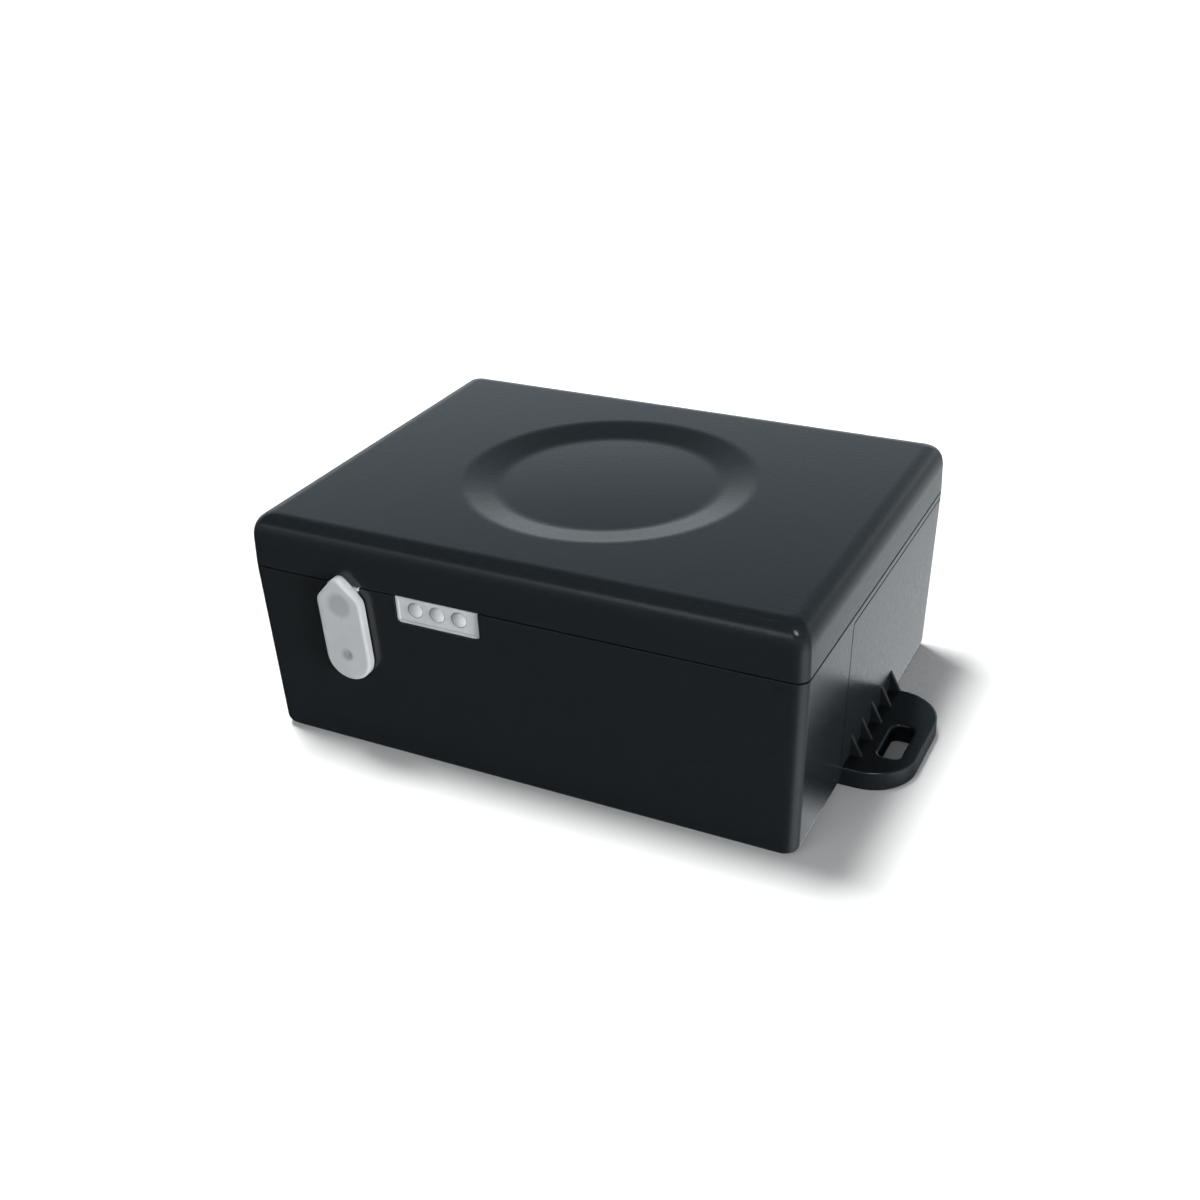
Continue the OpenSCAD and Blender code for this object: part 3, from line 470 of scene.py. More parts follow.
@dataclass(frozen=True)
class Finish:
    """Procedural surface with colour variation, uneven gloss and a fine relief.

    Scales are features per metre in the object's own space. The two colours are
    mixed by a broad cloud, the roughness range by a finer one, and the relief is
    a mix of grain and pores.
    """

    name: str
    colour: Triple
    other: Triple
    cloud: float = 60.0
    gloss: Pair = (0.4, 0.5)
    gloss_cloud: float = 300.0
    grain: float = 4000.0
    relief: float = 0.2
    depth: float = 0.01
    metallic: float = 0.0
    ior: float = 1.5
    stretch: Triple = (1.0, 1.0, 1.0)
    coat: float = 0.0
    sheen: float = 0.0
    subsurface: float = 0.0
    scatter: float = 1.0
    scatter_colours: Triple = (1.0, 0.95, 0.9)
    coat_gloss: float = 0.12
    sheen_gloss: float = 0.4
    pore_share: float = 0.6
    cloud_range: Pair = (0.3, 0.7)
    cloud_detail: float = 4.0
    gloss_detail: float = 3.0
    grain_detail: float = 2.0

    def material(self) -> bpy.types.Material:
        """Makes the material, or gives the one already made under this name.

        Returns:
            The material.
        """
        found = bpy.data.materials.get(self.name)
        if found:
            return found
        material = bpy.data.materials.new(self.name)
        material.use_nodes = True
        tree = material.node_tree
        shader = tree.nodes["Principled BSDF"]
        place = tree.nodes.new("ShaderNodeTexCoord")
        mapping = tree.nodes.new("ShaderNodeMapping")
        mapping.inputs["Scale"].default_value = self.stretch
        tree.links.new(place.outputs["Object"], mapping.inputs["Vector"])
        where = mapping.outputs["Vector"]
        self.paint(tree, shader, where)
        self.polish(tree, shader, where)
        self.emboss(tree, shader, where)
        values = {
            "Metallic": self.metallic, "IOR": self.ior,
            "Coat Weight": self.coat, "Coat Roughness": self.coat_gloss,
            "Sheen Weight": self.sheen, "Sheen Roughness": self.sheen_gloss,
            "Subsurface Weight": self.subsurface, "Subsurface Radius": self.scatter_colours,
            "Subsurface Scale": self.scatter * MM,
        }
        for name, value in values.items():
            shader.inputs[name].default_value = value
        return material

    @staticmethod
    def noise(tree: Tree, where: Socket, scale: float, detail: float) -> Socket:
        """Adds a noise texture and gives its height.

        Args:
            tree: The material's node tree.
            where: The place in the piece's own space.
            scale: Features per metre.
            detail: The number of finer layers.

        Returns:
            The height of the noise.
        """
        node = tree.nodes.new("ShaderNodeTexNoise")
        node.inputs["Scale"].default_value = scale
        node.inputs["Detail"].default_value = detail
        tree.links.new(where, node.inputs["Vector"])
        return node.outputs["Fac"]

    def paint(self, tree: Tree, shader: Node, where: Socket) -> None:
        """Mixes the two colours by a broad cloud.

        Args:
            tree: The material's node tree.
            shader: The surface's node.
            where: The place in the piece's own space.
        """
        blend = tree.nodes.new("ShaderNodeMix")
        blend.data_type = "RGBA"
        blend.inputs["A"].default_value = (*self.colour, 1.0)
        blend.inputs["B"].default_value = (*self.other, 1.0)
        spread = ranged(tree, self.noise(tree, where, self.cloud, self.cloud_detail), self.cloud_range)
        tree.links.new(spread, blend.inputs["Factor"])
        tree.links.new(blend.outputs["Result"], shader.inputs["Base Color"])

    def polish(self, tree: Tree, shader: Node, where: Socket) -> None:
        """Varies the roughness between its two limits."""
        cloud = self.noise(tree, where, self.gloss_cloud, self.gloss_detail)
        tree.links.new(ranged(tree, cloud, self.cloud_range, self.gloss), shader.inputs["Roughness"])

    def emboss(self, tree: Tree, shader: Node, where: Socket) -> None:
        """Presses the grain and its pores into the surface.

        Args:
            tree: The material's node tree.
            shader: The surface's node.
            where: The place in the piece's own space.
        """
        pores = tree.nodes.new("ShaderNodeTexVoronoi")
        pores.inputs["Scale"].default_value = self.grain * self.pore_share
        tree.links.new(where, pores.inputs["Vector"])
        grain = self.noise(tree, where, self.grain, self.grain_detail)
        whole = combined(tree, "ShaderNodeMath", "ADD", grain, pores.outputs["Distance"])
        bump = tree.nodes.new("ShaderNodeBump")
        bump.inputs["Strength"].default_value = self.relief
        bump.inputs["Distance"].default_value = self.depth * MM
        tree.links.new(whole.outputs["Value"], bump.inputs["Height"])
        tree.links.new(bump.outputs["Normal"], shader.inputs["Normal"])


@dataclass(frozen=True)
class SiliconeFinish(Finish):
    """Translucent silicone with painted shade: its colour darkens at the thumb dimple and over the peg,
    standing in for the shading there.
    """

    # Colour of the painted shade at the thumb dimple and over the peg.
    painted_shade: Triple = (0.17, 0.175, 0.18)
    painted_shade_layer: str = "painted_shade"

    def paint(self, tree: Tree, shader: Node, where: Socket) -> None:
        """Mixes the two colours, and darkens them towards the painted shade colour by the cover's painted
        shade layer.

        Args:
            tree: The material's node tree.
            shader: The surface's node.
            where: The place in the piece's own space.
        """
        super().paint(tree, shader, where)
        # Painted shade: the layer's weight blends the colour towards the shade colour.
        tint = tree.nodes.new("ShaderNodeMix")
        tint.data_type = "RGBA"
        tint.inputs["B"].default_value = (*self.painted_shade, 1.0)
        layer = tree.nodes.new("ShaderNodeAttribute")
        layer.attribute_name = self.painted_shade_layer
        tree.links.new(shader.inputs["Base Color"].links[0].from_socket, tint.inputs["A"])
        tree.links.new(layer.outputs["Fac"], tint.inputs["Factor"])
        tree.links.new(tint.outputs["Result"], shader.inputs["Base Color"])


@dataclass(frozen=True)
class Finishes:
    """Every finish of the tracker, by the part that has it."""

    case: Finish = Finish(
        "black moulded plastic", (0.0066, 0.0084, 0.0096), (0.0082, 0.01, 0.0112), cloud=900.0,
        gloss=(0.19, 0.25), gloss_cloud=1400.0, grain=2600.0, relief=0.6, depth=0.018, ior=1.55,
    )
    silicone: Finish = SiliconeFinish(
        "pale silicone", (0.297, 0.309, 0.322), (0.331, 0.341, 0.353), cloud=220.0, gloss=(0.42, 0.55),
        grain=2600.0, relief=0.08, depth=0.02, subsurface=0.35, scatter=1.2, ior=1.41,
    )
    window: Finish = Finish(
        "frosted window", (0.33, 0.348, 0.36), (0.38, 0.393, 0.405), cloud=260.0, gloss=(0.3, 0.42),
        grain=3000.0, relief=0.12, depth=0.01, subsurface=0.2, scatter=0.8,
    )
    lens: Finish = Finish(
        "milky lens", (0.335, 0.347, 0.359), (0.385, 0.395, 0.405), cloud=500.0, gloss=(0.08, 0.14),
        grain=1500.0, relief=0.03, depth=0.01, subsurface=0.3, scatter=0.6, coat=0.3,
    )
    button: Finish = Finish(
        "smooth black button", (0.02, 0.021, 0.022), (0.03, 0.031, 0.032), gloss=(0.22, 0.3), relief=0.05,
    )
    gasket: Finish = Finish(
        "grey gasket", (0.2, 0.2, 0.21), (0.26, 0.26, 0.27), gloss=(0.55, 0.65), grain=1800.0,
    )
    screw: Finish = Finish(
        "zinc screw steel", (0.55, 0.55, 0.57), (0.68, 0.68, 0.69), cloud=900.0, gloss=(0.25, 0.42),
        grain=5000.0, metallic=1.0, relief=0.1,
    )
    sheet: Finish = Finish(
        "tinned sheet steel", (0.62, 0.62, 0.63), (0.74, 0.74, 0.75), cloud=120.0, gloss=(0.22, 0.36),
        grain=2500.0, metallic=1.0, relief=0.08, stretch=(1.0, 6.0, 6.0),
    )
    nickel: Finish = Finish(
        "nickel strip", (0.62, 0.6, 0.56), (0.72, 0.7, 0.66), cloud=150.0, gloss=(0.28, 0.4),
        grain=2500.0, metallic=1.0, relief=0.1, stretch=(1.0, 8.0, 8.0),
    )
    board: Finish = Finish(
        "green circuit board", (0.012, 0.1, 0.045), (0.02, 0.16, 0.07), cloud=700.0, gloss=(0.25, 0.35),
        grain=2200.0, relief=0.15, coat=0.2,
    )
    nylon: Finish = Finish(
        "white nylon", (0.72, 0.71, 0.67), (0.8, 0.79, 0.75), cloud=200.0, gloss=(0.4, 0.52),
        subsurface=0.1,
    )
    dark: Finish = Finish(
        "dark moulded part", (0.018, 0.018, 0.02), (0.03, 0.03, 0.032), cloud=300.0, gloss=(0.38, 0.5),
        grain=3000.0, relief=0.2,
    )
    ceramic: Finish = Finish(
        "fired ceramic", (0.6, 0.54, 0.43), (0.68, 0.62, 0.51), cloud=400.0, gloss=(0.45, 0.6),
        grain=2500.0,
    )
    silver: Finish = Finish(
        "silver print", (0.78, 0.78, 0.77), (0.86, 0.86, 0.85), cloud=300.0, gloss=(0.25, 0.35),
        metallic=1.0, relief=0.12,
    )
    foam: Finish = Finish(
        "dark foam", (0.05, 0.05, 0.055), (0.09, 0.09, 0.095), cloud=900.0, gloss=(0.8, 0.95),
        grain=1500.0, relief=0.6, depth=0.08, sheen=0.2,
    )
    tape: Finish = Finish(
        "pale foam tape", (0.7, 0.7, 0.67), (0.78, 0.78, 0.75), cloud=600.0, gloss=(0.75, 0.9),
        grain=1800.0, relief=0.4, depth=0.05,
    )
    sleeve: Finish = Finish(
        "blue shrink sleeve", (0.03, 0.13, 0.35), (0.04, 0.17, 0.42), cloud=60.0, gloss=(0.2, 0.32),
        grain=900.0, relief=0.06, coat=0.3,
    )
    lead: Finish = Finish(
        "red lead sheath", (0.42, 0.02, 0.015), (0.5, 0.03, 0.02), cloud=300.0, gloss=(0.3, 0.42),
        relief=0.05,
    )
    black_lead: Finish = Finish(
        "black lead sheath", (0.02, 0.02, 0.022), (0.035, 0.035, 0.037), cloud=300.0, gloss=(0.35, 0.45),
    )
    film: Finish = Finish(
        "antenna film", (0.04, 0.05, 0.1), (0.06, 0.07, 0.13), cloud=150.0, gloss=(0.25, 0.4), coat=0.2,
    )
    gold: Finish = Finish(
        "gold contact", (0.83, 0.6, 0.25), (0.9, 0.68, 0.3), cloud=500.0, gloss=(0.2, 0.3), metallic=1.0,
    )


@dataclass
class Case:
    """Driving sizes of the closed case, in millimetres, partly read from the frame."""

    finishes: Finishes
    parting: float = 34.9
    seam_gap: float = 0.18
    base_draft: float = 1.8
    lid_draft: float = 0.9
    wall: float = 2.6
    floor: float = 2.4
    corner: float = 2.4
    inner_corner: float = 1.5
    tongue: float = 1.2
    tongue_height: float = 1.8
    lip: float = 0.18
    ring: CornerRing = CornerRing()

    def __post_init__(self) -> None:
        """Reads the case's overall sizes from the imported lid."""
        low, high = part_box("lid")
        self.width = (high.x - low.x) / MM
        self.depth = (high.y - low.y) / MM
        self.top = high.z / MM
        self.rim = self.parting - self.seam_gap / 2
        self.lid_edge = self.parting + self.seam_gap / 2
        self.inner_width = self.width - 2 * self.wall
        self.inner_depth = self.depth - 2 * self.wall
        self.tongue_top = self.parting + self.tongue_height

    def inside(self, grow: float, height: float) -> Ring:
        """Ring of the cavity's wall, grown outward by a distance."""
        width, depth = self.inner_width + 2 * grow, self.inner_depth + 2 * grow
        return self.ring.points(width, depth, self.inner_corner + grow, height)

    def outside(self, inset: float, radius: float, height: float) -> Ring:
        """Ring of the outer wall, set in by a distance."""
        return self.ring.points(self.width - 2 * inset, self.depth - 2 * inset, radius, height)

    def front(self) -> Matrix:
        """Frame of the leaning front wall: X along it, Y up it and Z out of it, from the parting line."""
        lean = Matrix.Rotation(math.radians(self.base_draft), 4, "X")
        return Matrix.Translation((0.0, -self.depth / 2, self.parting)) @ lean @ TO_FRONT

    def side(self) -> Matrix:
        """Frame of the leaning right wall: Y along it, Z up it and X out of it, from the parting line."""
        lean = Matrix.Rotation(math.radians(self.base_draft), 4, "Y")
        return Matrix.Translation((self.width / 2, 0.0, self.parting)) @ lean

    def finish(self, mesh: Mesh, name: str, coat: Finish, slot: str, body: str = CASE_BODY) -> Piece:
        """Makes a mesh into a dressed piece that rides on a body.

        Args:
            mesh: The mesh to use up.
            name: The piece's name.
            coat: Its finish.
            slot: Not used.
            body: The body that it rides on.

        Returns:
            The piece.
        """
        piece = as_object(mesh, name)
        self.dress(piece, coat, slot, body)
        return piece

    def dress(self, piece: Piece, coat: Finish, slot: str, body: str = CASE_BODY) -> None:
        """Shades a piece, gives it its finish and lets it ride on a body.

        Args:
            piece: The piece to dress.
            coat: Its finish.
            slot: Not used.
            body: The body that it rides on.
        """
        shade(piece)
        piece.data.materials.clear()
        piece.data.materials.append(coat.material())
        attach(piece, body)


@dataclass
class Lid:
    """Upper half of the case, with the round dish in its top.

    The soft edge reaches in from the wall and drops from the top by its own sizes,
    and a greater power gathers its bend in the middle. The dish's wall is straight
    between the end of its rim and its toe, and its floor rises by the crown.
    """

    case: Case
    top_drop: float = 0.5
    edge_reach: float = 4.0
    edge_drop: float = 5.0
    edge_power: float = 2.5
    top_corner: float = 1.2
    thickness: float = 2.4
    gasket: float = 0.8
    side_clear: float = 0.15
    dish_margin: float = 1.0
    dish_rim: float = 28.5
    dish_rim_end: float = 26.3
    dish_toe: float = 22.3
    dish_toe_end: float = 19.8
    dish_depth: float = 1.2
    dish_crown: float = 0.22
    dish_back: float = 0.35
    fillet_tilts: tuple[float, ...] = (
        90.0, 88.0, 85.0, 80.0, 74.0, 68.0, 62.0, 56.0, 50.0, 44.0,
        38.0, 32.0, 26.0, 20.0, 15.0, 10.0, 6.0, 3.0, 1.0, 0.0,
    )
    dish_steps: int = 10
    floor_shares: tuple[float, ...] = (0.94, 0.85, 0.7, 0.55, 0.4, 0.25, 0.1)

    @property
    def top(self) -> float:
        """Height of the flat top, a little under its solid's."""
        return self.case.top - self.top_drop

    def outer_rings(self) -> list[Ring]:
        """Rings from the lid's lower edge over its rounded top edge.

        Returns:
            The rings, lowest first.
        """
        case = self.case
        draft = math.tan(math.radians(case.lid_draft))
        rings = [
            case.outside(up, case.corner, case.lid_edge + across)
            for across, up in shortfalls(case.lip, QUARTER)
        ]
        rise = self.top - self.edge_drop - case.lid_edge
        for tilt in self.fillet_tilts:
            out, up = self.edge_point(tilt)
            radius = mix(case.corner, self.top_corner, 1 - out)
            height = self.top - self.edge_drop * (1 - up)
            rings.append(case.outside(rise * draft + self.edge_reach * (1 - out), radius, height))
        return rings

    def edge_point(self, tilt: float) -> Pair:
        """Finds a point of the soft edge, which bends slowly at both of its ends.

        Args:
            tilt: The surface's tilt there in degrees, 0 on the top and 90 on the wall.

        Returns:
            Shares of the edge's reach outward and of its drop upward, from the inside of the bend.
        """
        if tilt >= 90.0:
            return 1.0, 0.0
        steep = math.tan(math.radians(tilt)) * self.edge_reach / self.edge_drop
        slant = steep ** (1 / (self.edge_power - 1))
        up = (1 + slant ** self.edge_power) ** (-1 / self.edge_power)
        return slant * up, up

    def dish_rings(self) -> list[Ring]:
        """Rings down the dish: a soft rim, a straight wall, a soft toe and a faintly crowned floor.

        Returns:
            The rings, outermost first.
        """
        case = self.case
        wall = (self.dish_rim + self.dish_rim_end - self.dish_toe - self.dish_toe_end) / 2
        slope = self.dish_depth / wall
        rings = [
            case.ring.circle(self.dish_rim + self.dish_margin, self.top),
            case.ring.circle(self.dish_rim, self.top),
        ]
        height = self.top
        rim = self.dish_rim - self.dish_rim_end
        for step in range(1, self.dish_steps + 1):
            share = step / self.dish_steps
            height = self.top - slope * rim * (share ** 3 - share ** 4 / 2)
            rings.append(case.ring.circle(mix(self.dish_rim, self.dish_rim_end, share), height))
        foot = height - slope * (self.dish_rim_end - self.dish_toe)
        rings.append(case.ring.circle((self.dish_rim_end + self.dish_toe) / 2, (height + foot) / 2))
        toe = self.dish_toe - self.dish_toe_end
        for step in range(self.dish_steps + 1):
            share = step / self.dish_steps
            height = foot - slope * toe * (share - share ** 3 + share ** 4 / 2)
            rings.append(case.ring.circle(mix(self.dish_toe, self.dish_toe_end, share), height))
        base = self.top - self.dish_depth
        for share in self.floor_shares:
            rise = self.dish_crown * (1 - share ** 2)
            rings.append(case.ring.circle(self.dish_toe_end * share, base + rise))
        back = Vector((0.0, self.dish_back, 0.0))
        return [[point + back for point in ring] for ring in rings]

    def build(self) -> None:
        """Makes the lid's shell."""
        case = self.case
        ceiling = case.top - self.thickness
        rebate = case.tongue + self.side_clear
        rings = [
            case.inside(0.0, ceiling),
            case.inside(0.0, case.tongue_top + self.gasket),
            case.inside(rebate, case.tongue_top + self.gasket),
            case.inside(rebate, case.lid_edge),
            *self.outer_rings(),
            *self.dish_rings(),
        ]
        shell = case.finish(loft(rings, Ends.CAPPED), "lid_shell", case.finishes.case, "black_case_plastic")
        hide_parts("lid")
        LOG.info("lid_shell: %d faces", len(shell.data.polygons))


@dataclass
class Ear:
    """Slotted plate at the foot of a side wall, with its row of gussets."""

    case: Case
    reach: float = 10.2
    length: float = 29.3
    shift: float = 0.7
    thickness: float = 3.7
    corner: float = 8.5
    corner_steps: int = 10
    slot_width: float = 4.2
    slot_length: float = 11.0
    slot_corner: float = 1.4
    slot_reach: float = 5.4
    slot_shift: float = 2.8
    edge: float = 0.45
    foot_edge: float = 0.2
    root: float = 4.0
    root_corner: float = 0.2
    gussets: int = 5
    pitch: float = 6.0
    gusset_thickness: float = 0.9
    gusset_height: float = 7.7
    gusset_reach: float = 2.2
    gusset_edge: float = 0.16

    def plate(self) -> Mesh:
        """Makes the plate as one skin that runs over its edges and down its slot.

        Returns:
            The closed mesh, in metres.
        """
        half = self.case.width / 2
        tip = half + self.reach
        outer = rounded_corners(
            rectangle(half - self.root, -self.length / 2, tip, self.length / 2),
            (self.root_corner, self.corner, self.corner, self.root_corner), self.corner_steps,
        )
        middle = half + self.slot_reach
        low, high = -self.slot_shift - self.slot_length / 2, -self.slot_shift + self.slot_length / 2
        slot = rounded_corners(
            rectangle(middle - self.slot_width / 2, low, middle + self.slot_width / 2, high),
            (self.slot_corner,) * 4, self.corner_steps,
        )

        def ring(points: list[Pair], grow: float, height: float) -> Ring:
            """Moves an outline outward by a distance and sets its height.

            Args:
                points: The outline.
                grow: The distance.
                height: The ring's height.

            Returns:
                The ring.
            """
            count = len(points)
            grown = []
            for i, (x, y) in enumerate(points):
                before, after = Vector(points[i - 1]), Vector(points[(i + 1) % count])
                along = (after - before).normalized()
                grown.append(Vector((x + along.y * grow, y - along.x * grow, height)))
            return grown

        foot = shortfalls(self.foot_edge, QUARTER)
        rim = shortfalls(self.edge, FINE_QUARTER)
        rings = [ring(outer, -up, across) for across, up in foot]
        rings += [ring(outer, -across, self.thickness - up) for across, up in rim]
        rings += [ring(slot, across, self.thickness - up) for across, up in reversed(rim)]
        rings.append(ring(slot, 0.0, self.foot_edge))
        rings.append(ring(slot, self.foot_edge, 0.0))
        return loft(rings, Ends.JOINED)

    def gusset(self, index: int) -> Mesh:
        """Makes one three-cornered gusset with rounded edges.

        Args:
            index: The gusset's place in the row, counted from behind.

        Returns:
            The closed mesh, in metres.
        """
        case = self.case
        half = case.width / 2
        draft = math.tan(math.radians(case.base_draft))
        foot = half - (case.parting - self.thickness) * draft
        tip = half - (case.parting - self.gusset_height) * draft
        sunk = self.thickness - self.edge
        outline = [
            (half - case.wall + self.edge, sunk), (foot + self.gusset_reach, sunk),
            (foot + self.gusset_reach, self.thickness), (tip, self.gusset_height),
            (half - case.wall + self.edge, self.gusset_height),
        ]
        back = self.length / 2 - index * self.pitch
        mesh = prism(outline, -back, -back + self.gusset_thickness)
        return softened(placed(mesh, TO_FRONT), self.gusset_edge)

    def build(self) -> None:
        """Makes both ears, the left one as a mirror of the right one."""
        for name, mirrored in (("right_ear", False), ("left_ear", True)):
            parts = [self.plate(), *(self.gusset(i) for i in range(self.gussets))]
            mesh = placed(joined(parts), Matrix.Translation((0.0, -self.shift, 0.0)))
            if mirrored:
                placed(mesh, MIRROR)
            ear = self.case.finish(mesh, name, self.case.finishes.case, "black_case_plastic")
            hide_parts("base_case")
            LOG.info("%s: %d faces", name, len(ear.data.polygons))


@dataclass
class Base:
    """Lower half of the case, with its openings, screw columns and side seams."""

    case: Case
    edge_radius: float = 2.0
    fillet_steps: int = 10
    window_x: float = -13.9
    window_width: float = 16.9
    window_drop: float = 5.3
    window_corner: float = 0.8
    notch_steps: int = 6
    strap_x: float = -32.9
    strap_width: float = 6.8
    strap_drop: float = 0.75
    button_radius: float = 2.2
    button_height: float = 31.2
    button_x: float = -33.1
    port_width: float = 8.4
    port_height: float = 3.5
    port_level: float = 24.65
    peg_radius: float = 1.3
    peg_drop: float = 13.5
    peg_shift: float = 0.15
    screw_x: float = 45.2
    screw_y: float = 32.55
    column: float = 4.7
    column_top: float = 23.6
    head_bore: float = 3.0
    shank_bore: float = 1.7
    bore_over: float = 1.0
    bore_steps: int = 40
    head_seat: float = 20.6
    seam_y: float = 16.2
    seam_drop: float = 1.3
    seam_width: float = 0.35
    seam_depth: float = 0.2
    seam_hook: float = 0.8
    seam_foot: float = 0.2

    def shell(self) -> Mesh:
        """Makes the plain shell, from the floor inside over the tongue and down the outside.

        Returns:
            The closed mesh, in metres.
        """
        case = self.case
        draft = math.tan(math.radians(case.base_draft))
        rings = [
            case.inside(0.0, case.floor),
            case.inside(0.0, case.tongue_top),
            case.inside(case.tongue, case.tongue_top),
            case.inside(case.tongue, case.rim),
        ]
        for across, up in reversed(shortfalls(case.lip, QUARTER)):
            rings.append(case.outside(across, case.corner, case.rim - up))
        drop = case.rim - self.edge_radius
        turns = [90.0 * step / self.fillet_steps for step in range(self.fillet_steps + 1)]
        for across, up in shortfalls(self.edge_radius, turns):
            rings.append(case.outside(drop * draft + across, case.corner, up))
        return loft(rings, Ends.CAPPED)

    def notch(self, middle: float, width: float, drop: float, corner: float) -> Mesh:
        """Makes the tool that opens the rim above a depth.

        Args:
            middle: X of its middle.
            width: Its width.
            drop: How far it reaches below the rim.
            corner: The radius of its lower corners.

        Returns:
            The closed mesh, in metres.
        """
        case = self.case
        low = case.rim - drop - case.parting
        high = case.tongue_height + case.wall
        outline = rounded_corners(
            rectangle(middle - width / 2, low, middle + width / 2, high),
            (corner, corner, 0.0, 0.0), self.notch_steps,
        )
        return placed(prism(outline, -2 * case.wall, case.wall), case.front())

    def front_tools(self) -> list[Mesh]:
        """Makes the tools for every opening of the front wall.

        Returns:
            The tools, in metres.
        """
        case = self.case
        out = case.depth / 2 + case.wall
        back = case.inner_depth / 2 - case.wall / 2
        button = turned([(self.button_radius, back), (self.button_radius, out)])
        placed(button, Matrix.Translation((self.button_x, 0.0, self.button_height)) @ TO_FRONT)
        half_w, half_h = self.port_width / 2, self.port_height / 2
        outline = rounded_corners(rectangle(-half_w, -half_h, half_w, half_h), (half_h / 2,) * 4)
        port = prism(outline, back, out)
        placed(port, Matrix.Translation((self.strap_x, 0.0, self.port_level)) @ TO_FRONT)
        pin = [(self.peg_radius, -case.wall / 2 - self.peg_radius / 4), (self.peg_radius, case.wall)]
        place = Matrix.Translation((self.strap_x + self.peg_shift, -self.peg_drop, 0.0))
        peg = placed(turned(pin), case.front() @ place)
        return [
            self.notch(self.window_x, self.window_width, self.window_drop, self.window_corner),
            self.notch(self.strap_x, self.strap_width, self.strap_drop, self.strap_drop / 4),
            button, port, peg,
        ]

    def seam_tools(self) -> list[Mesh]:
        """Makes the tools for the side panels' fine seams, upright in front and level under the rim.

        Returns:
            The tools, in metres.
        """
        case = self.case
        half = self.seam_width / 2
        reach = case.depth / 2 + self.seam_width
        top = -self.seam_drop
        foot = -case.parting + self.seam_foot
        path = [
            (-self.seam_y + half, foot), (-self.seam_y + half, top - self.seam_hook),
            (-self.seam_y + self.seam_hook, top - self.seam_width), (reach, top - self.seam_width),
            (reach, top), (-self.seam_y + self.seam_hook / 2, top),
            (-self.seam_y - half, top - self.seam_hook), (-self.seam_y - half, foot),
        ]
        tools = []
        for mirrored in (False, True):
            tool = prism(path, -self.seam_depth, self.seam_width)
            placed(tool, case.side() @ TO_SIDE)
            if mirrored:
                placed(tool, MIRROR)
            tools.append(tool)
        return tools

    def at_screws(self, make: Callable[[], Mesh]) -> list[Mesh]:
        """Makes a mesh at each of the four case screws.

        Args:
            make: Makes the mesh round the upright axis.

        Returns:
            The four meshes.
        """
        return [
            placed(make(), Matrix.Translation((sx * self.screw_x, sy * self.screw_y, 0.0)))
            for sx in (-1, 1) for sy in (-1, 1)
        ]

    def build(self) -> None:
        """Makes the base and opens it for the parts that pass its walls."""
        case = self.case
        piece = as_object(self.shell(), "base_shell")
        post = [(self.column, case.floor / 2), (self.column, self.column_top)]
        carve(piece, joined(self.at_screws(lambda: turned(post))), Cut.ADD)
        bore = [
            (self.head_bore, -self.bore_over), (self.head_bore, self.head_seat),
            (self.shank_bore, self.head_seat), (self.shank_bore, self.column_top + self.bore_over),
        ]
        bores = self.at_screws(lambda: turned(bore, self.bore_steps))
        for tool in [joined(bores), joined(self.seam_tools()), *self.front_tools()]:
            carve(piece, tool, Cut.TAKE)
        case.dress(piece, case.finishes.case, "black_case_plastic")
        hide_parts("base_case")
        LOG.info("base_shell: %d faces", len(piece.data.polygons))


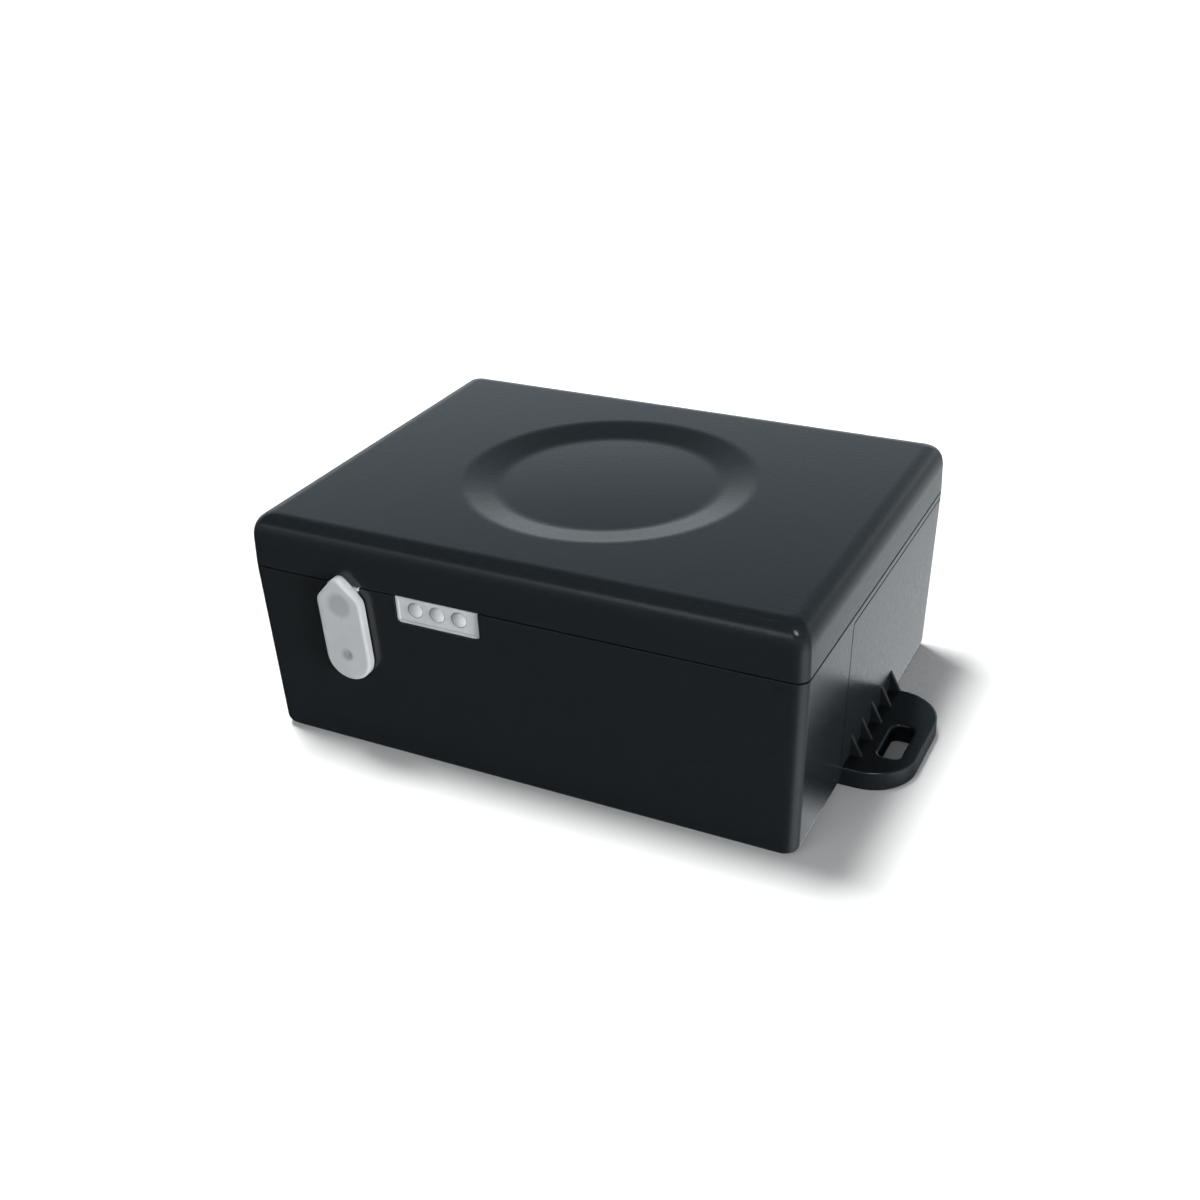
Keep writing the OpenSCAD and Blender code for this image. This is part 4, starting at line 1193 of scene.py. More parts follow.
@dataclass
class Window:
    """Frosted insert in the rim, with three domed lights behind its holes."""

    case: Case
    middle: float = -13.9
    width: float = 16.7
    low: float = -5.35
    corner: float = 0.8
    least_corner: float = 0.15
    top_corner: float = 0.1
    corner_steps: int = 6
    inset: float = 0.25
    edge: float = 0.12
    border: float = 0.55
    step: float = 0.12
    ease: float = 0.3
    slant: float = 0.4
    lap: float = 1.2
    flange: float = 0.7
    slack: float = 0.1
    soft_edge: float = 0.1
    lights: int = 3
    light_radius: float = 1.5
    hole_radius: float = 1.53
    hole_behind: float = 2.0
    hole_before: float = 1.0
    pitch: float = 4.4
    light_level: float = 32.6
    proud: float = 0.35
    dome_rise: float = 0.75
    dome_turns: tuple[float, ...] = (0.0, 10.0, 20.0, 30.0, 40.0, 50.0, 60.0, 70.0, 80.0, 88.0)
    collar: float = 1.9
    collar_depth: float = 1.0
    collar_edge: float = 0.1
    holder_back: float = 35.15
    lead: float = 0.5
    lead_run: float = 1.5
    lead_edge: float = 0.06
    board_top: float = 27.6

    def light_places(self) -> list[float]:
        """X of each light."""
        return [self.middle + (i - (self.lights - 1) / 2) * self.pitch for i in range(self.lights)]

    def outline(self, inset: float) -> list[Pair]:
        """Outline of the plate, set in by a distance, in the front wall's frame.

        Args:
            inset: The distance from the plate's outermost edge.

        Returns:
            The points, in millimetres.
        """
        top = -self.case.seam_gap / 2 - inset
        half = self.width / 2 - inset
        low = self.low + inset
        radius = max(self.corner - inset, self.least_corner)
        return rounded_corners(
            rectangle(self.middle - half, low, self.middle + half, top),
            (radius, radius, self.top_corner, self.top_corner), self.corner_steps,
        )

    def plate(self) -> Mesh:
        """Makes the plate with its rounded edge and the sunk panel inside its border.

        Returns:
            The closed mesh, in metres.
        """
        case = self.case
        face = -self.inset
        # Each row is an inset and a distance out of the wall, from the back over the edge to the panel.
        rows = [
            (0.0, -case.wall - self.flange / 2), (0.0, face - self.edge),
            (self.edge * self.ease, face - self.edge * self.ease), (self.edge, face), (self.border, face),
            (self.border + self.step * self.slant, face - self.step * self.ease),
            (self.border + self.step, face - self.step),
        ]
        rings = [[Vector((x, y, out)) for x, y in self.outline(inset)] for inset, out in rows]
        return placed(loft(rings, Ends.CAPPED), case.front())

    def backing(self) -> list[Mesh]:
        """Makes the flange behind the wall and the tongue above it.

        Returns:
            The two meshes.
        """
        case = self.case
        front = -case.inner_depth / 2
        half = self.width / 2 + self.lap
        low = case.parting + self.low - self.lap
        outline = rectangle(self.middle - half, front, self.middle + half, front + self.flange)
        flange = prism(outline, low, case.tongue_top)
        half = self.width / 2 - self.slack
        outline = rectangle(
            self.middle - half, front - case.tongue, self.middle + half, front + self.flange / 2
        )
        tongue = prism(outline, case.rim - case.tongue_height, case.tongue_top)
        return [softened(flange, self.soft_edge), softened(tongue, self.soft_edge)]

    def light(self, x: float) -> Mesh:
        """Makes one light: a dome on a barrel with a collar and two leads down to the board.

        Args:
            x: The light's place along the wall.

        Returns:
            The closed mesh, in metres.
        """
        case = self.case
        draft = math.tan(math.radians(case.base_draft))
        tip = case.depth / 2 - (case.parting - self.light_level) * draft - self.inset + self.proud
        radius = self.light_radius
        angles = [math.radians(turn) for turn in self.dome_turns]
        dome = [
            (radius * math.cos(angle), tip - self.dome_rise * (1 - math.sin(angle))) for angle in angles
        ]
        back = self.holder_back - self.collar_depth
        edge = self.collar_edge
        profile = [
            (self.collar - edge, back), (self.collar, back + edge), (self.collar, self.holder_back - edge),
            (self.collar - edge, self.holder_back), (radius, self.holder_back), *dome,
        ]
        parts = [placed(turned(profile), Matrix.Translation((x, 0.0, self.light_level)) @ TO_FRONT)]
        half = self.lead / 2
        under = self.light_level - 3 * half
        behind = -back + self.lead_run
        path = [
            (-back - half, under), (behind - self.lead, under), (behind - self.lead, self.board_top),
            (behind, self.board_top), (behind, self.light_level - half),
            (-back - half, self.light_level - half),
        ]
        for side in (-1, 1):
            middle = x + side * radius / 2
            wire = prism(path, middle - half, middle + half)
            parts.append(softened(placed(wire, TO_SIDE), self.lead_edge))
        return joined(parts)

    def build(self) -> None:
        """Makes the insert and the lights behind it."""
        case = self.case
        piece = as_object(self.plate(), "light_window")
        for part in self.backing():
            carve(piece, part, Cut.ADD)
        bore = [
            (self.hole_radius, case.inner_depth / 2 - self.hole_behind),
            (self.hole_radius, case.depth / 2 + self.hole_before),
        ]
        holes = [
            placed(turned(bore), Matrix.Translation((x, 0.0, self.light_level)) @ TO_FRONT)
            for x in self.light_places()
        ]
        carve(piece, joined(holes), Cut.TAKE)
        case.dress(piece, case.finishes.window, "window_plastic")
        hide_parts("led_window")
        mesh = joined([self.light(x) for x in self.light_places()])
        lights = case.finish(mesh, "light_lenses", case.finishes.lens, "light_lens")
        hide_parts("status_lights")
        for made in (piece, lights):
            LOG.info("%s: %d faces", made.name, len(made.data.polygons))


@dataclass
class Button:
    """Round power button in the front wall, with the collar that holds it from behind."""

    case: Case
    middle: float = -33.1
    level: float = 31.2
    radius: float = 2.1
    inset: float = 0.7
    edge: float = 0.3
    cup: float = 0.18
    cup_reach: float = 0.8
    cup_shares: tuple[float, ...] = (0.75, 0.6, 0.45, 0.3, 0.15, 0.05)
    collar: float = 2.9
    collar_thickness: float = 0.8
    collar_edge: float = 0.08
    gap: float = 0.05

    def build(self) -> None:
        """Makes the button with a lightly cupped face."""
        case = self.case
        draft = math.tan(math.radians(case.base_draft))
        front = case.depth / 2 - (case.parting - self.level) * draft - self.inset
        collar_front = case.inner_depth / 2 - self.gap
        back = collar_front - self.collar_thickness
        rounded = [(self.radius - across, front - up) for across, up in shortfalls(self.edge, QUARTER)]
        cupped = [
            (self.radius * share, front - self.cup * (1 - (share / self.cup_reach) ** 2))
            for share in self.cup_shares
        ]
        edge = self.collar_edge
        profile = [
            (self.collar - edge, back), (self.collar, back + edge), (self.collar, collar_front - edge),
            (self.collar - edge, collar_front), (self.radius, collar_front), *rounded, *cupped,
        ]
        place = Matrix.Translation((self.middle, 0.0, self.level))
        mesh = placed(turned(profile), place @ TO_FRONT)
        piece = case.finish(mesh, "button_cap", case.finishes.button, "dark_button", BUTTON_BODY)
        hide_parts("power_button")
        LOG.info("button_cap: %d faces", len(piece.data.polygons))


@dataclass
class Cover:
    """Silicone cover of the port and button, in one piece with its tab and strap.

    Slopes, and the fades of the painted shade, are given from their start to their end, as shares of the
    radius of the dimple or of the mark over the peg.
    """

    case: Case
    middle: float = -32.9
    drop: float = 10.0
    lean: float = 2.5
    width: float = 9.3
    low: float = 8.8
    shoulder: float = 7.7
    shoulder_radius: float = 2.2
    apex: float = 12.35
    apex_radius: float = 1.3
    gap: float = 0.3
    thickness: float = 1.7
    edge: float = 0.55
    edge_steps: int = 6
    roundness: float = 0.999
    outline_steps: int = 14
    outline_pitch: float = 0.45
    spine_over: float = 0.8
    loops: int = 26
    back_loops: int = 8
    back_reach: float = 0.985
    back_edge: float = 0.12
    least_gap: float = 0.004
    hinge_drop: float = 1.7
    settle: float = 1.2
    bend: float = 1.1
    crease: float = 40.0
    dimple_up: float = 6.7
    dimple_radius: float = 2.7
    dimple_depth: float = 0.1
    dimple_slope: Pair = (0.6, 1.1)
    dimple_shade: float = 0.55
    dimple_fade: Pair = (0.6, 1.15)
    peg_down: float = 3.5
    peg_radius: float = 0.9
    peg_length: float = 1.1
    peg_tip: tuple[Pair, ...] = ((0.6, 0.0), (0.9, 0.1), (1.0, 0.3))
    peg_steps: int = 28
    mark_radius: float = 1.4
    mark_slope: Pair = (0.35, 1.0)
    mark_shade: float = 0.95
    mark_fade: Pair = (0.3, 1.2)
    plug_width: float = 7.6
    plug_height: float = 2.7
    plug_length: float = 1.0
    plug_corner: float = 0.6
    plug_steps: int = 5
    plug_edge: float = 0.2
    port_level: float = 24.65
    strap_width: float = 6.6
    strap_drop: float = 0.6
    strap_edge: float = 0.18
    anchor_over: float = 1.2
    anchor: float = 1.2
    anchor_rise: float = 0.2
    anchor_edge: float = 0.1

    def frame(self) -> Matrix:
        """Frame of the leaning cover: X across it, Y up it and Z out of the wall."""
        lean = Matrix.Rotation(math.radians(self.lean), 4, "Z")
        return self.case.front() @ Matrix.Translation((self.middle, -self.drop, 0.0)) @ lean

    def outline(self) -> list[Pair]:
        """Outline of the cover and its tab, with enough points for a smooth edge.

        Returns:
            The points, in the cover's own frame.
        """
        half = self.width / 2
        rough = rounded_corners(
            [
                (-half, -self.low), (half, -self.low), (half, self.shoulder),
                (0.0, self.apex), (-half, self.shoulder),
            ],
            [
                half * self.roundness, half * self.roundness, self.shoulder_radius,
                self.apex_radius, self.shoulder_radius,
            ],
            self.outline_steps,
        )
        fine: list[Pair] = []
        for i, (x, y) in enumerate(rough):
            end = rough[(i + 1) % len(rough)]
            length = math.hypot(end[0] - x, end[1] - y)
            pieces = max(1, round(length / self.outline_pitch))
            fine.extend((mix(x, end[0], k / pieces), mix(y, end[1], k / pieces)) for k in range(pieces))
        return fine

    def spine(self, y: float) -> Vector:
        """Point of the cover's middle line that a point of its outline faces."""
        half = self.width / 2
        return Vector((0.0, min(max(y, half - self.low), self.shoulder + self.spine_over), 0.0))

    def back_of(self, y: float) -> float:
        """Distance of the cover's back from the wall at a height: the tab lies on the wall."""
        start = self.drop - self.hinge_drop
        return self.gap * (1.0 - smooth_step(y, start, start + self.settle))

    def from_marks(self, x: float, y: float) -> Pair:
        """Distances from the dimple's and the peg mark's middles, as shares of their radii."""
        dimple = math.hypot(x, y - self.dimple_up) / self.dimple_radius
        return dimple, math.hypot(x, y + self.peg_down) / self.mark_radius

    def face_of(self, x: float, y: float) -> float:
        """Distance of the cover's face from the wall, with its dimples pressed in.

        Args:
            x: The place across the cover.
            y: The place up the cover.

        Returns:
            The distance.
        """
        face = self.gap + self.thickness
        dimple, mark = self.from_marks(x, y)
        face -= self.dimple_depth * (1.0 - smooth_step(dimple, *self.dimple_slope))
        face -= self.dimple_depth * (1.0 - smooth_step(mark, *self.mark_slope))
        return face

    def body(self) -> Mesh:
        """Makes the cover's skin, from the middle of its back round its edge to its face's middle.

        Returns:
            The closed mesh, in metres.
        """
        outline = self.outline()

        def ring(share: float, out: Callable[[float, float], float], inset: float = 0.0) -> Ring:
            """Ring at a share of the way from the middle line to the outline.

            Args:
                share: The share of the way.
                out: Gives the distance from the wall at a place.
                inset: How far the outline is first drawn in.

            Returns:
                The ring.
            """
            points = []
            for x, y in outline:
                core = self.spine(y)
                spoke = Vector((x, y, 0.0)) - core
                reach = spoke.length
                spot = core + spoke * share * max(reach - inset, 0.0) / reach
                points.append(Vector((spot.x, spot.y, out(spot.x, spot.y))))
            return points

        shares = [step / self.back_loops for step in range(1, self.back_loops)]
        rings = [ring(share, lambda x, y: self.back_of(y)) for share in (*shares, self.back_reach)]
        rings.append(ring(1.0, lambda x, y: self.back_of(y) + self.back_edge))
        turns = [90.0 * step / self.edge_steps for step in range(self.edge_steps + 1)]
        for across, up in shortfalls(self.edge, turns):
            rings.append(ring(1.0, lambda x, y, up=up: self.face_of(x, y) - up, across))
        for step in range(1, self.loops):
            rings.append(ring(1 - step / self.loops, self.face_of, self.edge))
        mesh = loft(rings, Ends.CAPPED)
        bmesh.ops.remove_doubles(mesh, verts=mesh.verts, dist=self.least_gap * MM)
        bmesh.ops.recalc_face_normals(mesh, faces=mesh.faces)
        return placed(mesh, self.frame())

    def plug(self) -> Mesh:
        """Makes the plug that enters the port, in the front wall's frame.

        Returns:
            The closed mesh, in metres.
        """
        half_w, half_h = self.plug_width / 2, self.plug_height / 2
        level = self.port_level - self.case.parting
        outline = rounded_corners(
            rectangle(self.middle - half_w, level - half_h, self.middle + half_w, level + half_h),
            (self.plug_corner,) * 4, self.plug_steps,
        )
        plug = prism(outline, -self.plug_length, self.gap + self.thickness / 3)
        return placed(softened(plug, self.plug_edge), self.case.front())

    def peg(self) -> Mesh:
        """Makes the short peg below the plug.

        Returns:
            The closed mesh, in metres.
        """
        radius = self.peg_radius
        profile = [(radius * share, -self.peg_length + up) for share, up in self.peg_tip]
        profile.append((radius, self.gap + self.thickness / 3))
        place = self.frame() @ Matrix.Translation((0.0, -self.peg_down, 0.0))
        return placed(turned(profile, self.peg_steps), place)

    def strap(self) -> Mesh:
        """Makes the strap in the rim's notch and its anchor behind the wall.

        Returns:
            The closed mesh, in metres.
        """
        case = self.case
        half = self.strap_width / 2
        front = -case.depth / 2
        low = case.rim - self.strap_drop
        inner = -case.inner_depth / 2
        left, right = self.middle - half, self.middle + half
        strap = prism(rectangle(left, front - self.gap, right, inner), low, case.parting)
        tongue = prism(rectangle(left, inner - case.tongue, right, inner), low, case.tongue_top)
        wide = half + self.anchor_over
        outline = rectangle(self.middle - wide, inner, self.middle + wide, inner + self.anchor)
        anchor = prism(outline, low + self.anchor_rise, case.tongue_top)
        return joined([
            softened(strap, self.strap_edge), softened(tongue, self.anchor_edge),
            softened(anchor, self.anchor_edge),
        ])

    def paint_shade_marks(self, piece: Piece) -> None:
        """Marks the painted shade at the thumb dimple and over the peg, on the cover's face only.

        Args:
            piece: The whole silicone piece.
        """
        back = self.frame()
        back.translation = back.translation * MM
        into = back.inverted()
        layer = piece.data.attributes.new("painted_shade", "FLOAT", "POINT")
        for vertex in piece.data.vertices:
            spot = (into @ vertex.co) / MM
            dimple, mark = self.from_marks(spot.x, spot.y)
            shown = smooth_step(spot.z, self.gap, self.gap + self.thickness / 2)
            # Painted shade: darkest at the middles of the dimple and of the peg mark, fading outward.
            dark = max(
                self.dimple_shade * (1.0 - smooth_step(dimple, *self.dimple_fade)),
                self.mark_shade * (1.0 - smooth_step(mark, *self.mark_fade)),
            )
            layer.data[vertex.index].value = dark * shown

    def build(self) -> None:
        """Makes the whole silicone piece, whose back comes down onto the wall at the tab."""
        case = self.case
        piece = as_object(joined([self.body(), self.plug(), self.peg(), self.strap()]), "silicone_cover")
        self.paint_shade_marks(piece)
        shade(piece, self.crease)
        piece.data.materials.append(case.finishes.silicone.material())
        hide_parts("port_cover", "cover_tether")
        front = case.front()
        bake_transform(piece)
        LOG.info("silicone_cover: %d faces", len(piece.data.polygons))


@dataclass
class Inside:
    """Solids that keep their shape and only get a finish and softer edges."""

    finishes: Finishes
    edge: float = 0.12
    sharp_angle: float = 40.0

    def coats(self) -> dict[str, Finish]:
        """Finish of each kept solid, by its name.

        Returns:
            The finishes.
        """
        kinds = self.finishes
        return {
            "lid_gasket": kinds.gasket, "lid_screws": kinds.screw, "board_screws": kinds.screw,
            "light_holder": kinds.nylon, "switch_plunger": kinds.nylon, "button_switch": kinds.dark,
            "charge_port": kinds.sheet, "charge_port_tongue": kinds.dark, "circuit_board": kinds.board,
            "satellite_antenna": kinds.ceramic, "antenna_face": kinds.silver, "antenna_pad": kinds.tape,
            "modem_can": kinds.sheet, "receiver_can": kinds.sheet, "main_processor": kinds.dark,
            "board_chips": kinds.dark, "card_socket": kinds.sheet, "network_card": kinds.nylon,
            "battery_cells": kinds.sleeve, "cell_holders": kinds.dark, "cell_strips": kinds.nickel,
            "protection_board": kinds.board, "battery_leads": kinds.lead, "battery_plug": kinds.nylon,
            "board_header": kinds.nylon, "battery_pads": kinds.foam, "network_antenna": kinds.film,
            "antenna_lead": kinds.black_lead, "antenna_socket": kinds.gold,
        }

    def build(self) -> None:
        """Dresses every kept solid."""
        for name, coat in self.coats().items():
            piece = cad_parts[name]
            if not piece.material_slots:
                piece.data.materials.append(coat.material())
            for slot in piece.material_slots:
                slot.material = coat.material()
            round_off = piece.modifiers.new("soft edges", "BEVEL")
            round_off.width = self.edge * MM
            round_off.segments = SOFT_SEGMENTS
            round_off.limit_method = "ANGLE"
            round_off.angle_limit = math.radians(self.sharp_angle)
            LOG.info("%s: dressed", name)


class Role(Enum):
    """What a lamp does: it shapes the surfaces, or it gleams in their gloss."""

    SHAPE = "shape"
    GLEAM = "gleam"


@dataclass(frozen=True)
class Lamp:
    """Soft rectangular lamp or reflecting card, in metres and watts."""

    name: str
    place: Triple
    size: Pair
    power: float
    role: Role
    aim: Triple = (0.0, 0.0, 0.02)
    colour: Triple = (1.0, 1.0, 1.0)

    def build(self) -> None:
        """Sets the lamp up where it stands."""
        data = bpy.data.lights.new(self.name, "AREA")
        data.shape = "RECTANGLE"
        data.size, data.size_y = self.size
        data.energy = self.power
        data.color = self.colour
        lamp = bpy.data.objects.new(self.name, data)
        bpy.context.scene.collection.objects.link(lamp)
        lamp.location = self.place
        lamp.rotation_euler = (Vector(self.aim) - Vector(self.place)).to_track_quat("-Z", "Y").to_euler()
        lamp.visible_camera = False
        lamp.visible_glossy = self.role is Role.GLEAM
        lamp.visible_diffuse = self.role is Role.SHAPE
        lamp.visible_transmission = self.role is Role.SHAPE


@dataclass(frozen=True)
class Pool:
    """Bright patch of the surroundings that shows in gloss, round one direction.

    The direction is a turn from straight behind towards the right and a rise, in
    degrees. The falloff gives the brightness at angles from it, outermost first.
    """

    turn: float
    rise: float
    falloff: tuple[Pair, ...]
    warmth: float = 0.93

    def direction(self) -> Triple:
        """Unit vector to the middle of the patch."""
        turn, rise = math.radians(self.turn), math.radians(self.rise)
        return math.sin(turn) * math.cos(rise), math.cos(turn) * math.cos(rise), math.sin(rise)


@dataclass
class Studio:
    """Floor, lamps and the camera at the picture's own angle.

    The glow gives the brightness and warmth of the surroundings seen in gloss, at
    rises in degrees. It is full in the direction that it is turned to, and falls to
    its least share between the two cosines of its spread.
    """

    target: Triple = (-4.814, -0.76, 17.813)
    distance: float = 291.82
    azimuth: float = 27.6448
    elevation: float = 28.5236
    roll: float = 2.1693
    lens: float = 44.8545
    sensor: float = 36.0
    shift_x: float = 0.009568
    shift_y: float = 0.000545
    clip: Pair = (0.01, 20.0)
    backdrop: float = 1.2
    gloom: float = 0.15
    tint: Triple = (0.88, 0.96, 1.0)
    glow: tuple[Triple, ...] = (
        (-90.0, 0.12, 0.85), (-30.0, 0.14, 0.85), (-8.0, 0.3, 0.85), (2.0, 0.42, 0.85), (5.0, 0.55, 0.86),
        (7.5, 1.0, 0.86), (11.0, 1.0, 0.86), (15.0, 0.8, 0.84), (20.0, 0.54, 0.84), (22.5, 0.39, 0.76),
        (28.0, 0.29, 0.68), (33.0, 0.2, 0.7), (41.0, 0.08, 0.75), (60.0, 0.05, 0.85), (90.0, 0.05, 0.9),
    )
    glow_turn: float = -26.0
    glow_spread: Pair = (0.52, 0.8)
    glow_least: float = 0.25
    green_share: float = 0.35
    pools: tuple[Pool, ...] = (
        Pool(4.0, -32.0, (
            (60.0, 0.0), (45.0, 0.12), (32.0, 0.22), (22.0, 0.36),
            (13.0, 0.52), (9.0, 0.78), (5.0, 0.98), (0.0, 1.0),
        )),
        Pool(98.0, -34.0, ((45.0, 0.0), (30.0, 0.3), (15.0, 0.75), (0.0, 0.85))),
    )
    paper: Finish = Finish(
        "pale floor", (0.8, 0.8, 0.8), (0.8, 0.8, 0.8), gloss=(0.9, 0.95), relief=0.0, ior=1.3,
    )
    floor_half: float = 6000.0
    floor_thickness: float = 2.0
    floor_solid: float = 350.0
    floor_clear: float = 700.0
    flag_near: float = 51.0
    flag_far: float = 70.0
    flag_half: float = 46.0
    flag_levels: Pair = (-0.9, -0.5)
    # Colour of the sheet that paints the shaded floor's reflection.
    flag_shade_colour: Triple = (0.01, 0.01, 0.01)
    flag_fades: tuple[tuple[str, float, float], ...] = (
        ("X", 60.0, 70.0), ("Y", -13.0, -27.0), ("Y", 14.0, 22.0),
    )
    lamps: tuple[Lamp, ...] = (
        Lamp("overhead key", (-0.85, 0.32, 2.85), (0.9, 0.9), 132.0, Role.SHAPE),
        Lamp("front fill", (-0.6, -2.6, 1.6), (2.0, 1.2), 21.0, Role.SHAPE),
        Lamp("side lamp", (1.4, -0.47, 0.14), (0.5, 0.24), 36.0, Role.SHAPE),
        Lamp("card in front", (-0.39, -0.76, 0.42), (0.9, 0.2), 0.24, Role.GLEAM, colour=COOL),
        Lamp("card in front at the right", (-0.2, -0.84, 0.44), (0.36, 0.3), 0.2, Role.GLEAM, colour=COOL),
        Lamp("small lamp over the corner", (0.31, -0.5, 0.81), (0.3, 0.3), 1.7, Role.GLEAM),
    )

    def camera(self) -> None:
        """Sets the camera where the picture was taken from."""
        turn, rise, roll = (math.radians(v) for v in (self.azimuth, self.elevation, self.roll))
        back = Vector((math.sin(turn) * math.cos(rise), -math.cos(turn) * math.cos(rise), math.sin(rise)))
        right = (-back).cross(Vector((0.0, 0.0, 1.0))).normalized()
        down = (-back).cross(right)
        across = right * math.cos(roll) + down * math.sin(roll)
        under = down * math.cos(roll) - right * math.sin(roll)
        data = bpy.data.cameras.new("camera")
        data.lens = self.lens
        data.sensor_width = self.sensor
        data.shift_x = self.shift_x
        data.shift_y = self.shift_y
        data.clip_start, data.clip_end = self.clip
        camera = bpy.data.objects.new("camera", data)
        bpy.context.scene.collection.objects.link(camera)
        place = Matrix((across, -under, back)).transposed().to_4x4()
        place.translation = (Vector(self.target) + back * self.distance) * MM
        camera.matrix_world = place
        bpy.context.scene.camera = camera

    def floor(self) -> None:
        """Adds the pale floor, which takes shadows but doesn't mirror in the case."""
        half = self.floor_half
        floor = as_object(prism(rectangle(-half, -half, half, half), -self.floor_thickness, 0.0), "floor")
        floor.data.materials.append(self.paper.material())
        self.fade_floor(self.paper.material().node_tree)
        floor.visible_glossy = False
        floor.visible_shadow = False

    def fade_floor(self, tree: Tree) -> None:
        """Lets the floor fade into the white air before its far end shows.

        Args:
            tree: The floor's node tree.
        """
        place = tree.nodes.new("ShaderNodeTexCoord")
        reach = tree.nodes.new("ShaderNodeVectorMath")
        reach.operation = "LENGTH"
        tree.links.new(place.outputs["Object"], reach.inputs[0])
        span = (self.floor_solid * MM, self.floor_clear * MM)
        fade = ranged(tree, reach.outputs["Value"], span, (1.0, 0.0), soft=True)
        tree.links.new(fade, tree.nodes["Principled BSDF"].inputs["Alpha"])

    def flag(self) -> None:
        """Adds the dark sheet, seen only in gloss, that paints the reflection of the shaded floor round the
        ear into the right wall.
        """
        outline = rectangle(self.flag_near, -self.flag_half, self.flag_far, self.flag_half)
        sheet = as_object(prism(outline, *self.flag_levels), "flag")
        paper = bpy.data.materials.new("painted floor shade")
        paper.use_nodes = True
        tree = paper.node_tree
        shader = tree.nodes["Principled BSDF"]
        # Painted reflection of shade: the near-black sheet stands in for the shaded floor.
        shader.inputs["Base Color"].default_value = (*self.flag_shade_colour, 1.0)
        place = tree.nodes.new("ShaderNodeTexCoord")
        parts = tree.nodes.new("ShaderNodeSeparateXYZ")
        tree.links.new(place.outputs["Object"], parts.inputs["Vector"])
        fades = []
        for axis, solid, clear in self.flag_fades:
            span = (min(solid, clear) * MM, max(solid, clear) * MM)
            ends = (1.0, 0.0) if solid < clear else (0.0, 1.0)
            fades.append(ranged(tree, parts.outputs[axis], span, ends, soft=True))
        shown = fades[0]
        for fade in fades[1:]:
            shown = combined(tree, "ShaderNodeMath", "MULTIPLY", shown, fade).outputs["Value"]
        tree.links.new(shown, shader.inputs["Alpha"])
        sheet.data.materials.append(paper)
        sheet.visible_camera = False
        sheet.visible_diffuse = False
        sheet.visible_shadow = False

    def air(self) -> None:
        """Makes the surroundings: white to the camera, dim on the surfaces, and graded in the gloss."""
        world = bpy.data.worlds.new("studio")
        world.use_nodes = True
        tree = world.node_tree
        dim = tree.nodes["Background"]
        dim.inputs["Color"].default_value = (*self.tint, 1.0)
        dim.inputs["Strength"].default_value = self.gloom
        white = tree.nodes.new("ShaderNodeBackground")
        white.inputs["Color"].default_value = (1.0, 1.0, 1.0, 1.0)
        white.inputs["Strength"].default_value = self.backdrop
        graded = self.graded_sky(tree)
        ray = tree.nodes.new("ShaderNodeLightPath")
        first = tree.nodes.new("ShaderNodeMixShader")
        tree.links.new(ray.outputs["Is Glossy Ray"], first.inputs["Fac"])
        tree.links.new(dim.outputs["Background"], first.inputs[1])
        tree.links.new(graded.outputs["Background"], first.inputs[2])
        pick = tree.nodes.new("ShaderNodeMixShader")
        tree.links.new(ray.outputs["Is Camera Ray"], pick.inputs["Fac"])
        tree.links.new(first.outputs["Shader"], pick.inputs[1])
        tree.links.new(white.outputs["Background"], pick.inputs[2])
        tree.links.new(pick.outputs["Shader"], tree.nodes["World Output"].inputs["Surface"])
        bpy.context.scene.world = world

    def ramp(self, tree: Tree, value: Socket, stops: Sequence[Triple]) -> Socket:
        """Turns a cosine or a height into a colour.

        Args:
            tree: The world's node tree.
            value: The number that the colour follows, from -1 to 1.
            stops: The number, brightness and warmth of each stop, in rising order.

        Returns:
            The colour.
        """
        node = tree.nodes.new("ShaderNodeValToRGB")
        elements = node.color_ramp.elements
        for i, (spot, _, _) in enumerate(stops):
            place = (spot + 1) / 2
            element = elements[i] if i < 2 else elements.new(place)
            element.position = place
        for element, (_, level, warmth) in zip(elements, stops):
            element.color = (level * warmth, level * warmth ** self.green_share, level, 1.0)
        tree.links.new(ranged(tree, value, (-1.0, 1.0)), node.inputs["Fac"])
        return node.outputs["Color"]

    @staticmethod
    def towards(tree: Tree, where: Socket, aim: Triple) -> Socket:
        """Gives the cosine between the looked-at direction and an aim.

        Args:
            tree: The world's node tree.
            where: The looked-at direction.
            aim: The unit vector to compare it with.

        Returns:
            The cosine.
        """
        dot = tree.nodes.new("ShaderNodeVectorMath")
        dot.operation = "DOT_PRODUCT"
        dot.inputs[1].default_value = aim
        tree.links.new(where, dot.inputs[0])
        return dot.outputs["Value"]

    def graded_sky(self, tree: Tree) -> Node:
        """Adds the surroundings that show in gloss: brightest low behind, dark overhead and in front.

        Args:
            tree: The world's node tree.

        Returns:
            The background node.
        """
        where = tree.nodes.new("ShaderNodeTexCoord").outputs["Generated"]
        bands = [(math.sin(math.radians(rise)), level, warmth) for rise, level, warmth in self.glow]
        total = self.ramp(tree, self.towards(tree, where, (0.0, 0.0, 1.0)), bands)
        turn = math.radians(self.glow_turn)
        facing = self.towards(tree, where, (math.sin(turn), math.cos(turn), 0.0))
        mask = ranged(tree, facing, self.glow_spread, (self.glow_least, 1.0))
        total = combined(tree, "ShaderNodeVectorMath", "MULTIPLY", total, mask).outputs["Vector"]
        for pool in self.pools:
            stops = [(math.cos(math.radians(angle)), level, pool.warmth) for angle, level in pool.falloff]
            patch = self.ramp(tree, self.towards(tree, where, pool.direction()), stops)
            total = combined(tree, "ShaderNodeVectorMath", "ADD", total, patch).outputs["Vector"]
        sky = tree.nodes.new("ShaderNodeBackground")
        tree.links.new(total, sky.inputs["Color"])
        return sky

    def build(self) -> None:
        """Sets up the whole studio."""
        bpy.context.scene.view_settings.view_transform = "Standard"
        self.camera()
        self.floor()
        self.flag()
        self.air()
        for lamp in self.lamps:
            lamp.build()
        LOG.info("studio: camera, floor and %d lamps", len(self.lamps))


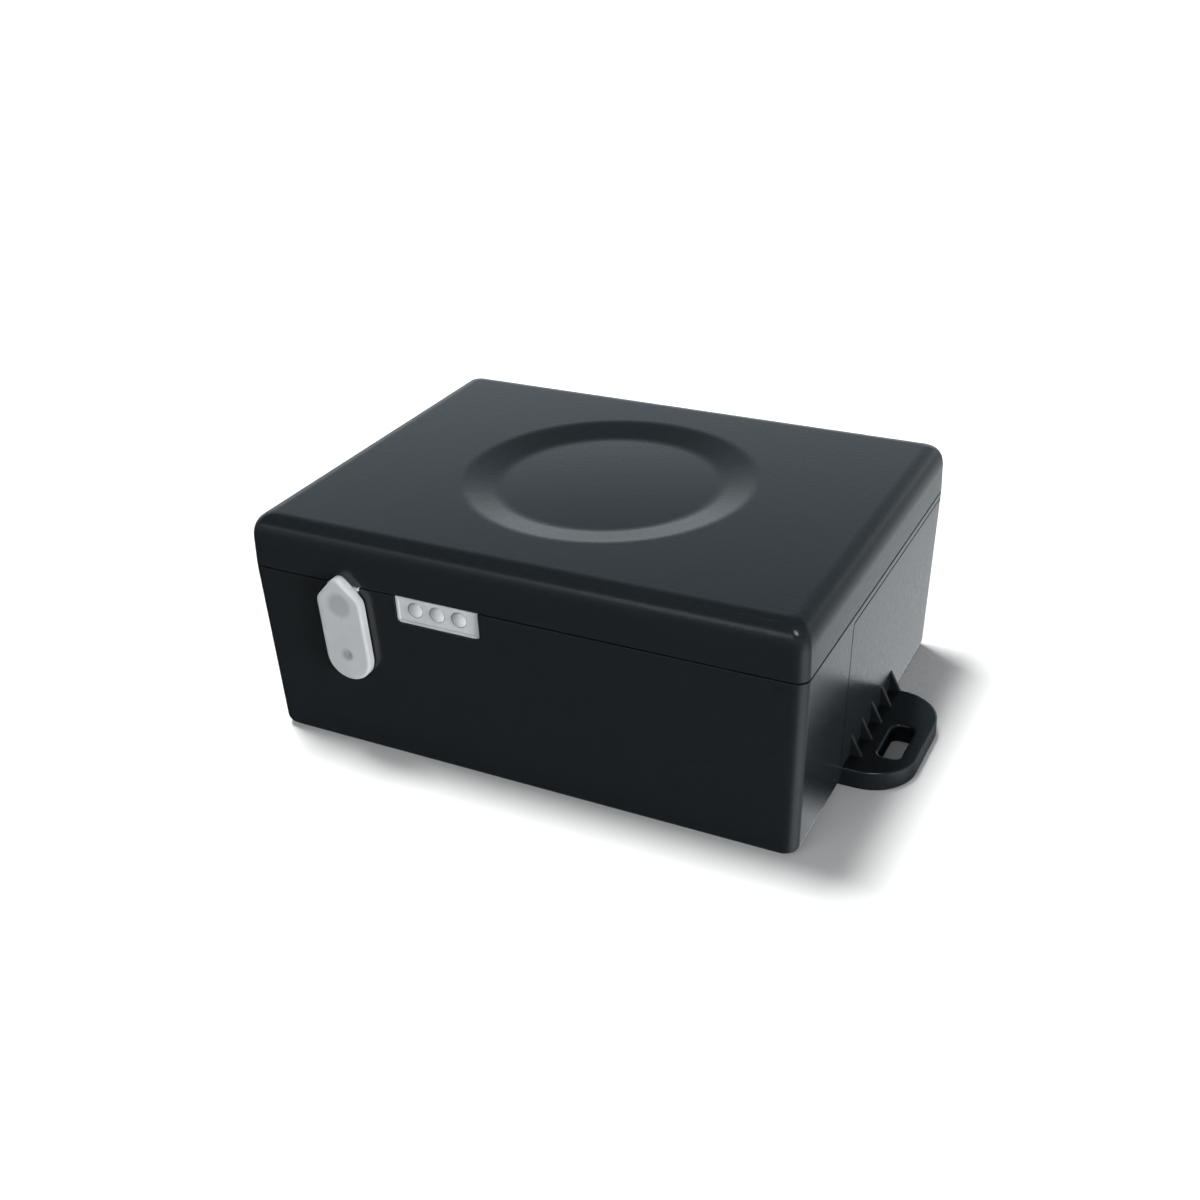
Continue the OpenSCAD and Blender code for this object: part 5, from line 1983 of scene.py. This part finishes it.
def main() -> None:
    """Builds the tracker's pieces in order."""
    logging.basicConfig(level=logging.INFO, format="%(name)s %(message)s")
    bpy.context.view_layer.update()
    finishes = Finishes()
    case = Case(finishes)
    Studio().build()
    Lid(case).build()
    Base(case).build()
    Ear(case).build()
    Window(case).build()
    Button(case).build()
    Cover(case).build()
    Inside(finishes).build()


if __name__ == "__main__":
    main()
